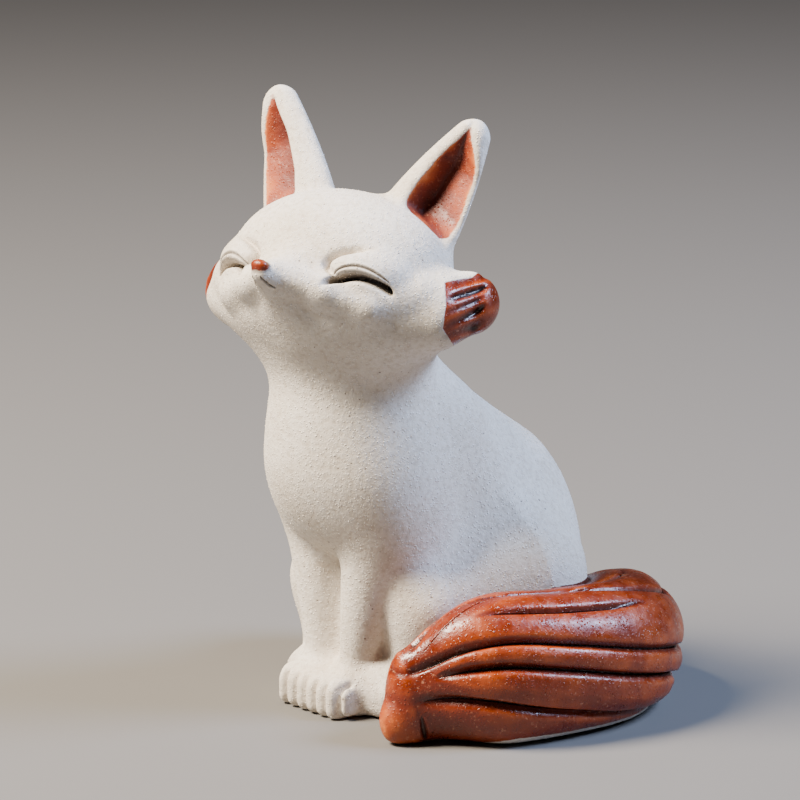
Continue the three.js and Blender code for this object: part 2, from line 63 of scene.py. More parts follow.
# %% [markdown]
# ## Soft forms
#
# Clay has no edges of its own: a leg melts into a belly. A signed distance describes that well. It is
# a formula that says how far a point is from the surface, and it is negative inside. Two of them are
# pressed together by a minimum with a rounded corner. We work in millimetres on whole arrays of
# points at once, because there will be more than three million of them.

# %% Distances to eggs, limbs and pads, and how they are joined
def join(a, b, soft):
    """Two forms pressed together, with a fillet about as wide as soft."""
    h = np.maximum(soft - np.abs(a - b), 0) / soft
    return np.minimum(a, b) - h * h * soft / 4


def cut(a, b, soft):
    """The first form with the second pressed out of it."""
    return -join(-a, b, soft)


def ramp(v, low, high):
    """0 below low, 1 above high, and smooth between."""
    t = np.clip((v - low) / (high - low), 0, 1)
    return t * t * (3 - 2 * t)


def bump(distance, width):
    return np.exp(-(distance / width) ** 2)


def length(*v):
    return np.sqrt(sum(c * c for c in v))


def mix(a, b, t):
    return a + (b - a) * t


def egg(p, at, radii, tilt=0.0, turn=0.0):
    """An egg, turned about up, or tipped by tilt about the across axis."""
    px, py, dz = (p[i] - at[i] for i in range(3))
    dx, dy = math.cos(turn) * px + math.sin(turn) * py, math.cos(turn) * py - math.sin(turn) * px
    ey, ez = math.cos(tilt) * dy + math.sin(tilt) * dz, math.cos(tilt) * dz - math.sin(tilt) * dy
    a, b, c = radii
    k = length(dx / a, ey / b, ez / c)
    return k * (k - 1) / (length(dx / a**2, ey / b**2, ez / c**2) + 1e-6)


def limb(p, start, end, radii, narrow=1):
    """A tapering limb between two balls, and so many times narrower than deep."""
    b = [end[i] - start[i] for i in range(3)]
    d = [p[0] * narrow - start[0], p[1] - start[1], p[2] - start[2]]
    t = np.clip(sum(d[i] * b[i] for i in range(3)) / sum(c * c for c in b), 0, 1)
    return length(*(d[i] - t * b[i] for i in range(3))) - mix(radii[0], radii[1], t)


def pad(p, at, half, edge):
    """A block with rounded edges."""
    x, y, z = (np.abs(p[i] - at[i]) - half[i] + edge for i in range(3))
    inside = np.minimum(np.maximum(np.maximum(x, y), z), 0)
    return length(np.maximum(x, 0), np.maximum(y, 0), np.maximum(z, 0)) + inside - edge


def mirrored(p):
    return np.abs(p[0]), p[1], p[2]


def pile(p, forms, **carving):
    """Eggs, limbs and pads pressed on one after another, each with its own fillet and carving."""
    whole = None
    for name, (fillet, sizes) in forms.items():
        kind = limb if "start" in sizes else pad if "half" in sizes else egg
        part = kind(p, **sizes) + carving.get(name, 0)
        whole = part if whole is None else join(whole, part, fillet)
    return whole


# %% [markdown]
# ## The body
#
# A seated fox is a heavy egg for the haunches, a back that runs up to the neck in one line, and two
# thin forelegs with the paws side by side. One leg of each pair is described, and its mirror image
# comes free by taking the distance across as a plain number without its sign. Each form is pressed
# onto those before it with a fillet of its own: wide where flesh runs over, narrow at a paw.

# %% Torso and legs, each form with its fillet first
TORSO = dict(
    haunches=(0, dict(at=(0, 6, 10), radii=(11.6, 13, 14.3))),
    back=(5, dict(start=(0, 5.5, 17.5), end=(0, -6.6, 29.8), radii=(10.8, 8.1), narrow=1.16)),
    blade=(3, dict(at=(4.6, -0.6, 27.8), radii=(3.4, 4, 4.4))),
    chest=(4.5, dict(at=(0, -7.5, 24.2), radii=(8.4, 7.4, 8.8))),
    shoulder=(3.5, dict(at=(5.2, -7, 20), radii=(4.2, 5, 9), tilt=math.radians(12))),
    neck=(6, dict(start=(0, -8.1, 26), end=(0, -8.9, 37), radii=(7.1, 6.5))),
    belly=(2, dict(start=(0, -2, 13), end=(0, -3, 4), radii=(6.6, 6))),
)
HINDLEG = dict(
    thigh=(0, dict(start=(7.8, 4.7, 12.4), end=(7.2, -4.5, 11), radii=(8.5, 4.3))),
    shin=(3, dict(start=(7.2, -4.6, 11), end=(7, -5.6, 3), radii=(3.8, 2.8))),
    paw=(1.4, dict(at=(6.6, -7.4, 1.8), half=(2, 3.5, 2.1), edge=1.7)),
)
FORELEG = dict(
    leg=(0, dict(start=(4.4, -8.6, 18.2), end=(2.6, -10.2, 4.6), radii=(3.8, 1.6))),
    web=(2, dict(start=(0, -6.2, 16), end=(0, -8.2, 3), radii=(2.6, 1.9))),
    paw=(2, dict(at=(0, -11.6, 1.8), half=(5.25, 3.2, 2.4), edge=1.8)),
    instep=(1.5, dict(at=(5.2, -8.4, 2.4), radii=(2.6, 3, 3))),
)
TOE = Sizes(
    depths=(0.4, 0.45, 0.5, 0.5), spacing=1.52, width=0.3, start=-12.6, reach=1.2, top=3.5, fade=0.6,
)
FILLET = Sizes(
    hindleg=2.6, foreleg=1, crest=1.2, crest_stops=0.8, nose=0.5, tuft=1.5, hollow=0.5, ear=1,
    head=3.5, knob=0.5, tail=0.7, foot=0.7,
)


def toe_lines(q):
    lines = sum(deep * bump(q[0] - i * TOE.spacing, TOE.width)
                for i, deep in enumerate(TOE.depths))
    return (lines * ramp(TOE.start - q[1], -TOE.reach, 0)
            * ramp(TOE.top - q[2], -TOE.fade, TOE.fade))


def body(p):
    q = mirrored(p)
    d = join(pile(q, TORSO), pile(q, HINDLEG), FILLET.hindleg)
    return join(d, pile(q, FORELEG, paw=toe_lines(q)), FILLET.foreleg)


# %% [markdown]
# ## The head
#
# The head has its own frame: it is turned a little to the fox's left and lifted, as if it smelt the
# tea. Inside that frame everything but the size of the ears is mirrored. A frame is a rotation
# matrix; its columns are the head's own axes, so its transpose takes a point into the head.

# %% Frames for the head and the ear
def frame_at(at, *turns):
    """Functions into and out of a frame that stands at a place and is turned about X, Y or Z."""
    m = Matrix.Identity(3)
    for axis, angle in turns:
        m = m @ Matrix.Rotation(math.radians(angle), 3, axis)

    def into(p):
        d = [p[i] - at[i] for i in range(3)]
        return tuple(sum(m[r][c] * d[r] for r in range(3)) for c in range(3))

    def out(p):
        return tuple(sum(m[r][c] * p[c] for c in range(3)) + at[r] for r in range(3))

    return into, out


into_head, out_of_head = frame_at((0.5, -9.2, 43.3), ("Z", 15), ("X", -17), ("Y", -1))
into_ear, _ = frame_at((6.3, 0.2, 5), ("Y", 24.5), ("X", -5), ("Z", 8))

# %% Skull, muzzle, cheeks and the closed eyes
SKULL = dict(
    skull=(0, dict(at=(0, -1.5, 0.8), radii=(11.8, 9, 7.9))),
    jaw=(3, dict(at=(0, -0.5, -4.6), radii=(11.3, 7.5, 5.5))),
    cheek=(2.6, dict(start=(4.6, -6.5, -3.1), end=(11.8, -1.7, -2.6), radii=(2.5, 3.2))),
    muzzle=(3.2, dict(start=(0, -6.2, -2.8), end=(0, -14.4, -1.3), radii=(4, 1.05))),
)
NOSE = dict(at=(0, -15.1, -0.65), radii=(0.85, 0.55, 0.5))
TUFT = dict(start=(12, -0.8, -1.7), end=(13.4, 1.2, -0.9), radii=(3.2, 3.1))
LID = dict(at=(6.8, -7.25, 0.3), radii=(4.1, 2.6, 2.2), turn=math.radians(28))
CREST = ((0.7, -12.9, -1.3), (4.3, -9.9, -2.1), (7.9, -7.3, -2.8), (11.2, -4.3, -0.9))
CREST_RADII = ((0.9, 1.5), (1.5, 1.5), (1.5, 1.5))
CREASE = Sizes(depth=0.7, width=0.26, up=(-0.9, 0.3), side=(5.4, 8.6), under=(-1.1, -0.7))
LID_SOFT = (0.25, 1.4)  # the lid's fillet near the nose, and out on the cheek
EYE = Sizes(across=7.55, up=-1.3, half=2.6, arch=0.9, width=0.32, depth=1.3, fade=0.3, past=1.2)
GROOVE = Sizes(fan=0.35, width=0.42, start=12.6, slant=0.6, begins=(-0.4, 0.8), length=4.4, ends=1.4)
GROOVES = (  # height on the tuft, how much it rises on the way out, depth
    (2.2, 0, 0.2), (0.55, 0.14, 0.6), (-2.2, 0.33, 0.7), (-3, 0.15, 0.5), (-0.8, 0.24, 0.3),
)


def over_slit(e, up):
    """How far a point is above the line of the closed lids, seen along the gaze."""
    s = np.clip(e / EYE.half, -EYE.past, EYE.past)
    return up - EYE.up - EYE.arch * (1 - s * s)


def slit(m):
    e = m[0] - EYE.across
    within = 1 - ramp(np.abs(e), EYE.half - EYE.fade, EYE.half + EYE.fade)
    return EYE.depth * within * bump(over_slit(e, m[2]), EYE.width) * (m[1] < 0)


def tuft_place(m):
    """How far out along the tuft a point is, and how high on it."""
    way = m[0] - GROOVE.start + (m[1] - TUFT["start"][1]) * GROOVE.slant
    return way, m[2] - TUFT["start"][2] - GROOVE.fan * way


def grooved(way, height, width, depths):
    """The grooves of a tuft side by side, with a width and with a depth for each."""
    lines = sum(deep * bump(height - at - rise * way, width)
                for deep, (at, rise, _) in zip(depths, GROOVES))
    return lines * ramp(way, *GROOVE.begins)


def tuft_lines(m):
    way, height = tuft_place(m)
    lines = grooved(way, height, GROOVE.width, [deep for _, _, deep in GROOVES])
    return lines * ramp(GROOVE.length - way, 0, GROOVE.ends)


# %% [markdown]
# An ear is a leaf: round at the back, with a hollow folded along its middle. The hollow is what lies
# in front of two planes that meet in the fold, so it is the larger of two distances to lines in the
# ear's section. Both walls come out thin and even, as when clay is pinched between two fingers.

# %% The ears
BLADE = Sizes(length=13.1, width=4.5, depth=2.6, tip=1.3, taper=1.6)
HOLLOW = Sizes(rim=(-2, -2.3), fold=(-0.5, 1), edge=(4, 0))
CLOSE = Sizes(start=0.6, end=5.5, by=1.2)  # the hollow runs out forward below the ear's tip
OPEN = Sizes(start=2, end=4.4, slope=0.22, by=0.3, tip=0.4, share=0.93)  # and above the ear's foot
RIGHT_EAR = Sizes(wider=1.12, taller=1.19, out=0.8)


def across(a, f, start, end):
    """Distance to one side of the line from one point of the ear's section to another, as a share."""
    ax, ay = start[0] / BLADE.width, start[1] / BLADE.depth
    bx, by = end[0] / BLADE.width, end[1] / BLADE.depth
    return ((f - ay) * (bx - ax) - (a - ax) * (by - ay)) / math.hypot(bx - ax, by - ay)


def ear(h):
    """The leaf of the nearer ear and the hollow in it."""
    m = mirrored(h)
    right = h[0] < 0
    over, f, up = into_ear(m)
    a = (over - right * RIGHT_EAR.out) / np.where(right, RIGHT_EAR.wider, 1)
    u = up / np.where(right, RIGHT_EAR.taller, 1)
    t = np.clip(u / BLADE.length, 0, 1)
    width = mix(BLADE.width, BLADE.tip, t ** BLADE.taper)
    depth = mix(BLADE.depth, BLADE.tip, t)
    rise = np.maximum(np.maximum(0, u - BLADE.length + BLADE.tip), -u)
    leaf = (length(a / width, f / depth, rise / BLADE.tip) - 1) * depth
    front = f / depth + CLOSE.by * (1 - ramp(BLADE.length - u, CLOSE.start, CLOSE.end))
    front = front + OPEN.by * (1 - ramp(u + OPEN.slope * a, OPEN.start, OPEN.end))
    inner = across(a / width, front, HOLLOW.rim, HOLLOW.fold)
    outer = across(a / width, front, HOLLOW.fold, HOLLOW.edge)
    bottom = (OPEN.start - OPEN.slope * a + OPEN.tip * f - u) * OPEN.share
    return leaf, np.maximum(np.maximum(inner * depth, outer * depth), bottom)


def lidded(m, d):
    """The bulging lid: a crease sets it off near the nose, and it melts into the cheek."""
    lid = egg(m, **LID)
    side = ramp(m[0], *CREASE.side)
    crease = CREASE.depth * bump(d - lid, CREASE.width) * ramp(m[2], *CREASE.up) * (1 - side)
    d = join(d, lid, mix(*LID_SOFT, side))
    return d + crease * (m[1] < 0) * ramp(d, *CREASE.under)


def head(p):
    h = into_head(p)
    m = mirrored(h)
    crest, *more = (limb(m, *sizes) for sizes in zip(CREST, CREST[1:], CREST_RADII))
    for part in more:
        crest = join(crest, part, FILLET.crest_stops)
    d = lidded(m, join(pile(m, SKULL), crest, FILLET.crest)) + slit(m)
    d = join(d, egg(m, **NOSE), FILLET.nose)
    d = join(d, limb(m, **TUFT) + tuft_lines(m), FILLET.tuft)
    return join(d, cut(*ear(h), FILLET.hollow), FILLET.ear)


# %% [markdown]
# ## The tail
#
# The tail follows a curve that comes round from behind, with an oval section that swells and then
# closes to a point. For each point in space we look for the nearest place on the curve. The furrows
# are named by their turn round the tail at three places, and each runs along a smooth curve through
# those three. A sharp narrow line sits in the middle of a wide soft one: that is what a pointed tool
# leaves in wet clay.

# %% The tail's middle line
TAIL = (  # place, half width and half height
    ((-4, 12, 4.4), (4.4, 4.4)),
    ((4.6, 16.6, 4.7), (5.2, 4.7)),
    ((13.2, 15.6, 6), (6.2, 6.4)),
    ((19.4, 8.6, 6.6), (6.6, 6.9)),
    ((19.8, 0.6, 6.9), (6.3, 7.2)),
    ((17.6, -6.6, 6.7), (5.6, 7.4)),
    ((14.2, -12.8, 4.7), (2.5, 5)),
)
TAIL_STEPS = 120
TAIL_FOOT = 2.7  # 2 is round; more gives the tail a squarer lower half
KNOB = dict(at=(13.9, -14.1, 2.5), radii=(1.8, 1.9, 2.6))


def curve_through(stops, steps, even):
    """Points on a smooth curve through the stops, even in time or slowed where stops are far apart."""
    stops = np.array(stops, float)
    first, last = 2 * stops[0] - stops[1], 2 * stops[-1] - stops[-2]
    if even:
        first, last = stops[0], stops[-1]
    knots = np.vstack([first, stops, last])
    result = []
    for u in np.linspace(0, len(stops) - 1, steps + 1):
        k = min(int(u), len(stops) - 2)
        x0, x1, x2, x3 = knots[k:k + 4]
        pairs = ((x0, x1), (x1, x2), (x2, x3))
        g0, g1, g2 = (1 if even else math.sqrt(np.linalg.norm(b - a)) for a, b in pairs)
        s = ((x1 - x0) / g0 - (x2 - x0) / (g0 + g1) + (x2 - x1) / g1) * g1
        e = ((x2 - x1) / g1 - (x3 - x1) / (g1 + g2) + (x3 - x2) / g2) * g1
        t = u - k
        result.append(x1 + s * t + (3 * (x2 - x1) - 2 * s - e) * t**2 + (2 * (x1 - x2) + s + e) * t**3)
    return np.array(result)


tail_line = curve_through([at for at, _ in TAIL], TAIL_STEPS, False)
tail_half = curve_through([half for _, half in TAIL], TAIL_STEPS, True)
tail_along = np.gradient(tail_line, axis=0)
tail_length = np.linalg.norm(np.diff(tail_line, axis=0), axis=1).sum()
print("the tail's middle line is", round(float(tail_length), 1), "mm")

# %% The furrows between its locks
FURROWS = (  # turn round the tail at three places in degrees, where it starts and ends, depth
    ((60, 92, 62), 0.1, 1, 0.7),
    ((50, 60, 60), 0.55, 0.86, 0.8),
    ((0, 29, 36), 0.1, 1.03, 1.1),
    ((-25, 6, 19), 0.1, 0.97, 1.2),
    ((-54, -30, -5), 0.2, 1.02, 1.1),
    ((100, 126, 110), 0.1, 0.94, 0.9),
    ((138, 158, 160), 0.1, 0.85, 0.8),
)
PLACES = Sizes(low=0.4, first=0.45, step=0.25, high=1)  # the three places are a step apart
# the last size is the width of the darker line in each furrow: pooled slip with painted shade
FURROW = Sizes(width=0.3, spread=1.2, share=0.6, fade=0.06, stain=0.27)


def turn_at(turns, place):
    a, b, c = turns
    t = (np.clip(place, PLACES.low, PLACES.high) - PLACES.first) / PLACES.step
    return np.radians(a + (b - a) * t + (c - 2 * b + a) * t * (t - 1) / 2)


def furrows(turn, place, reach):
    """How deep the furrows press, and a line that is 1 in the middle of each: pooled slip and painted
    shade.
    """
    deep, line = 0 * turn, 0 * turn
    for turns, start, end, depth in FURROWS:
        within = ramp(place, start - FURROW.fade, start + FURROW.fade)
        within = within * ramp(end - place, 0, 2 * FURROW.fade)
        gap = np.abs(turn - turn_at(turns, place)) * reach
        sharp = bump(gap, FURROW.width)
        soft = np.exp(-gap / FURROW.spread)
        deep = np.maximum(deep, depth * within * (FURROW.share * sharp + (1 - FURROW.share) * soft))
        line = np.maximum(line, within * bump(gap, FURROW.stain))
    return deep, line


# %% The nearest place on the middle line, and the tail round it
SEARCH = Sizes(rounds=2, longest=2, straightest=0.05)  # the steps that make the place exact


def between(table, found):
    """Rows of one of the tail's tables, read between its steps."""
    k = np.minimum(found.astype(int), TAIL_STEPS - 1)
    return mix(table[k], table[k + 1], (found - k)[..., None])


def tail_place(p):
    """The nearest place on the tail's middle line: the distance to it, the place, and which side."""
    x, y, z = p
    best, found, out = x * 0 + 1e9, x * 0, x * 0
    for i in range(TAIL_STEPS):
        a, b = tail_line[i], tail_line[i + 1] - tail_line[i]
        px, py, pz = x - a[0], y - a[1], z - a[2]
        t = np.clip((px * b[0] + py * b[1] + pz * b[2]) / (b @ b), 0, 1)
        d = (px - t * b[0]) ** 2 + (py - t * b[1]) ** 2 + (pz - t * b[2]) ** 2
        near = d < best
        best = np.where(near, d, best)
        found = np.where(near, i + t, found)
        out = np.where(near, b[0] * py - b[1] * px, out)
    q = np.stack([x, y, z], -1)
    bends = np.diff(tail_along, axis=0)
    for _ in range(SEARCH.rounds):
        gap, along = q - between(tail_line, found), between(tail_along, found)
        bend = (gap * bends[np.minimum(found.astype(int), TAIL_STEPS - 1)]).sum(-1)
        step = (gap * along).sum(-1) / np.maximum((along**2).sum(-1) - bend, SEARCH.straightest)
        found = np.clip(found + np.clip(step, -SEARCH.longest, SEARCH.longest), 0, TAIL_STEPS)
    return length(*np.moveaxis(q - between(tail_line, found), -1, 0)), found, out


def tail(p):
    """Distances to the tail with its carving and without, the line in its furrows, and the place."""
    best, found, out = tail_place(p)
    w, h = np.moveaxis(between(tail_half, found), -1, 0)
    dz = p[2] - between(tail_line, found)[..., 2]
    side = np.sqrt(np.maximum(best**2 - dz**2, 0))
    square = np.where(dz < 0, TAIL_FOOT, 2)
    level = ((side / w) ** square + np.abs(dz / h) ** square) ** (1 / square) - 1
    turn = np.arctan2(dz / h, np.sign(out) * side / w)
    place = found / TAIL_STEPS
    deep, line = furrows(turn, place, best)
    plain, knob = level * np.minimum(w, h), egg(p, **KNOB)
    carved, bare = (join(form, knob, FILLET.knob) for form in (plain + deep, plain))
    return carved, bare, line, place


# %% [markdown]
# ## One figure
#
# Now the forms go together in the order in which the clay was pressed on. The head only matters above
# the chest and the tail near the table, so each is worked out only for the points that need it.

# %% The whole field
HEAD_FROM, TAIL_TO = 26, 18
DEEP = -8  # so far inside the body the tail changes nothing


def field(p):
    d = body(p)
    high = p[2] > HEAD_FROM
    d[high] = join(d[high], head(tuple(c[high] for c in p)), FILLET.head)
    near = (p[2] < TAIL_TO) & (d > DEEP)
    d[near] = join(d[near], tail(tuple(c[near] for c in p))[0], FILLET.tail)
    return cut(d, p[2], FILLET.foot)


# %% [markdown]
# ## From distances to a mesh
#
# OpenVDB, the library behind Blender's volumes, draws a surface through the zeros of a grid. A full
# grid at a fifth of a millimetre would have nearly twenty million points, so we first test the middle
# of each small block, and only fill in the blocks that the surface can pass through. A drawn surface
# can hold a bubble where two forms just miss each other; the figure is the biggest shell alone.

# %% The surface
CELL = 0.2
BLOCK = 5
REACH = 1.7  # a block whose middle is farther than this from the surface holds none of it
FAR = 3.0  # the distance written where nothing is worked out
PARTS = 16  # the points are worked out in so many goes, to spare memory
SPACE = ((-19, -26, -1.5), (28, 25, 63))  # two corners of the room that the figure needs


def surface_of(inside, low, high, cell):
    blocks = np.ceil((np.array(high) - low) / (cell * BLOCK)).astype(int)
    steps = [low[i] + cell * BLOCK * (np.arange(blocks[i]) + 0.5) - cell / 2 for i in range(3)]
    middles = np.stack(np.meshgrid(*steps, indexing="ij"), -1).reshape(-1, 3).astype(np.float32)
    coarse = inside(tuple(middles.T))
    values = np.where(coarse > 0, FAR, -FAR).astype(np.float32).reshape(blocks)
    for axis in range(3):
        values = np.repeat(values, BLOCK, axis)
    hit = np.argwhere(np.abs(coarse.reshape(blocks)) < REACH) * BLOCK
    inner = np.stack(np.meshgrid(*[np.arange(BLOCK)] * 3, indexing="ij"), -1).reshape(-1, 3)
    index = (hit[:, None] + inner).reshape(-1, 3)
    points = (index * cell + np.array(low)).astype(np.float32)
    worked_out = [inside(tuple(part.T)) for part in np.array_split(points, PARTS)]
    values[tuple(index.T)] = np.concatenate(worked_out)
    grid = vdb.FloatGrid(background=FAR)
    grid.copyFromArray(values)
    found, quads = grid.convertToQuads(isovalue=0.0)
    print(len(index), "points looked at,", len(quads), "quads found")
    return found * cell + np.array(low), quads


def edges_of(faces):
    sides = np.concatenate([faces[:, [i, (i + 1) % faces.shape[1]]] for i in range(faces.shape[1])])
    return np.unique(np.sort(sides, 1), axis=0)


def biggest_shell(points, faces):
    """The largest connected piece: each point takes the lowest name of its neighbours."""
    a, b = edges_of(faces).T
    name = np.arange(len(points))
    before = None
    while before is None or (before != name).any():
        before = name.copy()
        low = np.minimum(name[a], name[b])
        np.minimum.at(name, a, low)
        np.minimum.at(name, b, low)
        name = name[name]
    kept = name == np.bincount(name).argmax()
    print("left out", int((~kept).sum()), "points of bubbles")
    return points[kept], (np.cumsum(kept) - 1)[faces[kept[faces[:, 0]]]]


points, quads = biggest_shell(*surface_of(field, *SPACE, CELL))

# %% [markdown]
# The grid leaves faint steps. A potter would wipe the figure with a wet finger; we move each point to
# the middle of its neighbours and then back along the slope of the field onto the surface, three
# times over.

# %% Evening out the mesh
WIPES = 3
LEAST_SLOPE = 0.1  # the slope of the field, squared, is near 1 and is never taken as less than this


def neighbour_middles(points, edges):
    n = len(points)
    both = np.concatenate([edges, edges[:, ::-1]])
    count = np.bincount(both[:, 0], minlength=n)
    return np.stack([np.bincount(both[:, 0], points[both[:, 1], i], n) / count for i in range(3)], 1)


def onto_surface(points, inside, step=0.03):
    d = inside(tuple(points.T))
    steps = step * np.eye(3)
    slope = np.stack([(inside(tuple((points + steps[i]).T)) - d) / step for i in range(3)], 1)
    return points - slope * (d / np.maximum((slope**2).sum(1), LEAST_SLOPE))[:, None]


points = points.astype(float)
edges = edges_of(quads)
for _ in range(WIPES):
    points = onto_surface(neighbour_middles(points, edges), field)
off = float(np.median(np.abs(field(tuple(points.T)))))
print("evened out", len(points), "points, half of them within", round(off, 4), "mm of the field")

# %% Millimetres of the field to metres of the frame
low, high = points.min(0), points.max(0)
scale = float(((fox_high - fox_low) / (high - low)).min())
middle = np.array([(low[0] + high[0]) / 2, (low[1] + high[1]) / 2, low[2]])
spot = np.array([(fox_low[0] + fox_high[0]) / 2, (fox_low[1] + fox_high[1]) / 2, fox_low[2]])
print("the field is drawn at", round(scale / MM, 4), "of its size")


def to_frame(p):
    return (np.array(p) - middle) * scale + spot


def to_field(p):
    return (np.array(p) - spot) / scale + middle


def placed(name, data):
    """A new object in the scene, made of some data."""
    obj = bpy.data.objects.new(name, data)
    bpy.context.scene.collection.objects.link(obj)
    return obj


def mesh_object(name, points, edges, faces):
    mesh = bpy.data.meshes.new(name)
    mesh.from_pydata(points.tolist(), edges, faces)
    mesh.shade_smooth()
    return placed(name, mesh)


a, b, c = (points[quads[:, i]] for i in range(3))
facing_out = (np.cross(b - a, c - a) * a).sum() > 0
clay = mesh_object("clay", to_frame(points), [], (quads if facing_out else quads[:, ::-1]).tolist())
print("a closed skin of", 2 * len(quads), "triangles")

# %% [markdown]
# ## Paths for the fine tool lines
#
# The deep furrows are in the form already. What a pointed stick leaves at the bottom of them, and round
# the eyes and the mouth, is much finer: a line about a quarter of a millimetre wide. The lines on the
# face are drawn as the maker sees them, looking straight at it, so a point of such a line is found by
# going back along the gaze until the clay is met. A line on the tail is found by going out from the
# middle of the tail, in the direction of its furrow, until the clay ends.

# %% Laying points on the clay
FOLD = Sizes(up=-0.5, arch=1.15, half=2.6, points=60)  # in the lid, above the slit
MOUTH = Sizes(stops=((0.45, 0, -1.8), (0.75, 0, -2.35), (1.15, 0, -2.6)), points=30)
CORE = Sizes(start=0.12, end=1, inner=0.02, points=90)  # the line at the bottom of a furrow
PINCH = dict(places=(0.985, 0.97), turns=(-20, -60), points=40)  # where the tail's end was pinched
MARKS = Sizes(  # half width and depth
    fold=(0.14, 0.2), mouth=(0.1, 0.16), core=(0.13, 0.2), pinch=(0.26, 0.22),
)
GAZE = (-18.0, -2.0)  # in front of the face, and inside it
RAY = (1.4, 0.4)  # outside the tail and inside it, as shares of its half sizes
SHOWN_FURROWS = FURROWS[:5]  # the others lie against the rump
HALVINGS = 14


def skin_along(ray, outer, inner, count):
    """Numbers just outside and just inside the clay, for rays that give a point for each number."""
    outer, inner = np.full(count, outer), np.full(count, inner)
    for _ in range(HALVINGS):
        half_way = (outer + inner) / 2
        outside = field(ray(half_way)) > 0
        outer, inner = np.where(outside, half_way, outer), np.where(outside, inner, half_way)
    return outer, inner


def on_face(across, up):
    """Where the gaze of somebody looking straight at the face meets it, as points of the field."""
    def gaze(depth):
        return out_of_head((across, depth, up))

    outer, _ = skin_along(gaze, *GAZE, len(across))
    return np.stack(gaze(outer), 1)


def on_tail(place, turn):
    """Points on the skin of the tail, from their places along it and their turns round it."""
    tables = (tail_line, tail_along, tail_half)
    centre, along, half = (between(table, place * TAIL_STEPS) for table in tables)
    outward = np.stack([-along[:, 1], along[:, 0], 0 * turn], 1)
    outward *= (half[:, 0] * np.cos(turn) / np.linalg.norm(outward, axis=1))[:, None]
    upward = np.outer(half[:, 1] * np.sin(turn), (0, 0, 1))

    def ray(share):
        return tuple((centre + (outward + upward) * share[:, None]).T)

    _, inner = skin_along(ray, *RAY, len(place))
    return np.stack(ray(inner), 1)


def stroke_points():
    """Each fine line as its points, its half width and its depth."""
    strokes = []
    for side in (-1, 1):
        e = np.linspace(-1, 1, FOLD.points) * FOLD.half
        up = FOLD.up + FOLD.arch * (1 - (e / FOLD.half) ** 2)
        strokes.append((on_face(side * (EYE.across + e), up), *MARKS.fold))
        lip = curve_through(MOUTH.stops, MOUTH.points, True)
        strokes.append((on_face(side * lip[:, 0], lip[:, 2]), *MARKS.mouth))
    for turns, start, end, _ in SHOWN_FURROWS:
        start, end = max(start, CORE.start) + CORE.inner, min(end, CORE.end) - CORE.inner
        place = np.linspace(start, end, CORE.points)
        strokes.append((on_tail(place, turn_at(turns, place)), *MARKS.core))
    place, turn = (np.linspace(*PINCH[name], PINCH["points"]) for name in ("places", "turns"))
    strokes.append((on_tail(place, np.radians(turn)), *MARKS.pinch))
    return strokes


strokes = stroke_points()
print(len(strokes), "fine lines,", sum(len(p) for p, _, _ in strokes), "points")

# %% [markdown]
# Lines this fine need smaller faces than the rest of the clay, so every edge close to one of them is
# cut in three before anything is pressed in, and the new points are laid on the field again.

# %% Smaller faces near the fine lines
NEAR = 0.75  # how far from a line in millimetres
CUTS = 2


def finer_near(obj, spots, within, cuts):
    """Cuts the edges that lie near some points, and lays the new vertices on the form."""
    tree = KDTree(len(spots))
    for i, spot in enumerate(spots):
        tree.insert(spot, i)
    tree.balance()
    work = bmesh.new()
    work.from_mesh(obj.data)
    close = {v for v in work.verts if tree.find(v.co)[2] < within}
    chosen = [e for e in work.edges if e.verts[0] in close and e.verts[1] in close]
    made = bmesh.ops.subdivide_edges(work, edges=chosen, cuts=cuts, use_grid_fill=True)
    fresh = [part for part in made["geom_inner"] if isinstance(part, bmesh.types.BMVert)]
    where = onto_surface(to_field([v.co[:] for v in fresh]), field)
    for vert, co in zip(fresh, to_frame(where)):
        vert.co = co
    work.to_mesh(obj.data)
    work.free()
    return len(fresh)


stroke_spots = to_frame(np.concatenate([p for p, _, _ in strokes]))
print("added", finer_near(clay, stroke_spots, NEAR * MM, CUTS), "vertices near the lines")

# %% The lines as one set of edges, with two numbers at each point
TAPER = 0.4  # below 1, a line keeps its width and closes only near its ends


def store(mesh, name, values):
    attribute = mesh.attributes.new(name, "FLOAT", "POINT")
    attribute.data.foreach_set("value", np.asarray(values, np.float32))


def joined_strokes(strokes):
    edges, half, deep, first = [], [], [], 0
    for p, width, depth in strokes:
        edges += [(first + i, first + i + 1) for i in range(len(p) - 1)]
        taper = np.sin(np.pi * (np.arange(len(p)) + 0.5) / len(p)) ** TAPER
        half.append(width * taper * MM)
        deep.append(depth * taper * MM)
        first += len(p)
    obj = mesh_object("tool_paths", stroke_spots, edges, [])
    store(obj.data, "half", np.concatenate(half))
    store(obj.data, "deep", np.concatenate(deep))
    return obj


tool_paths = joined_strokes(strokes)

# %% [markdown]
# ## Colours and nodes
#
# Blender describes both materials and generated geometry as trees of nodes. A colour is read from a
# swatch as an sRGB hex value, and one function turns it to the linear numbers that a shader wants.
# Another adds a node of any kind, sets it, and links what it is given, so that a tree reads as a list
# of sentences.

# %% A function for colours and one for nodes
def colour(code):
    """An sRGB hex value as linear red, green, blue and an alpha of 1."""
    parts = [int(code[i:i + 2], 16) / 255 for i in (1, 3, 5)]
    return tuple(c / 12.92 if c <= 0.04045 else ((c + 0.055) / 1.055) ** 2.4 for c in parts) + (1.0,)


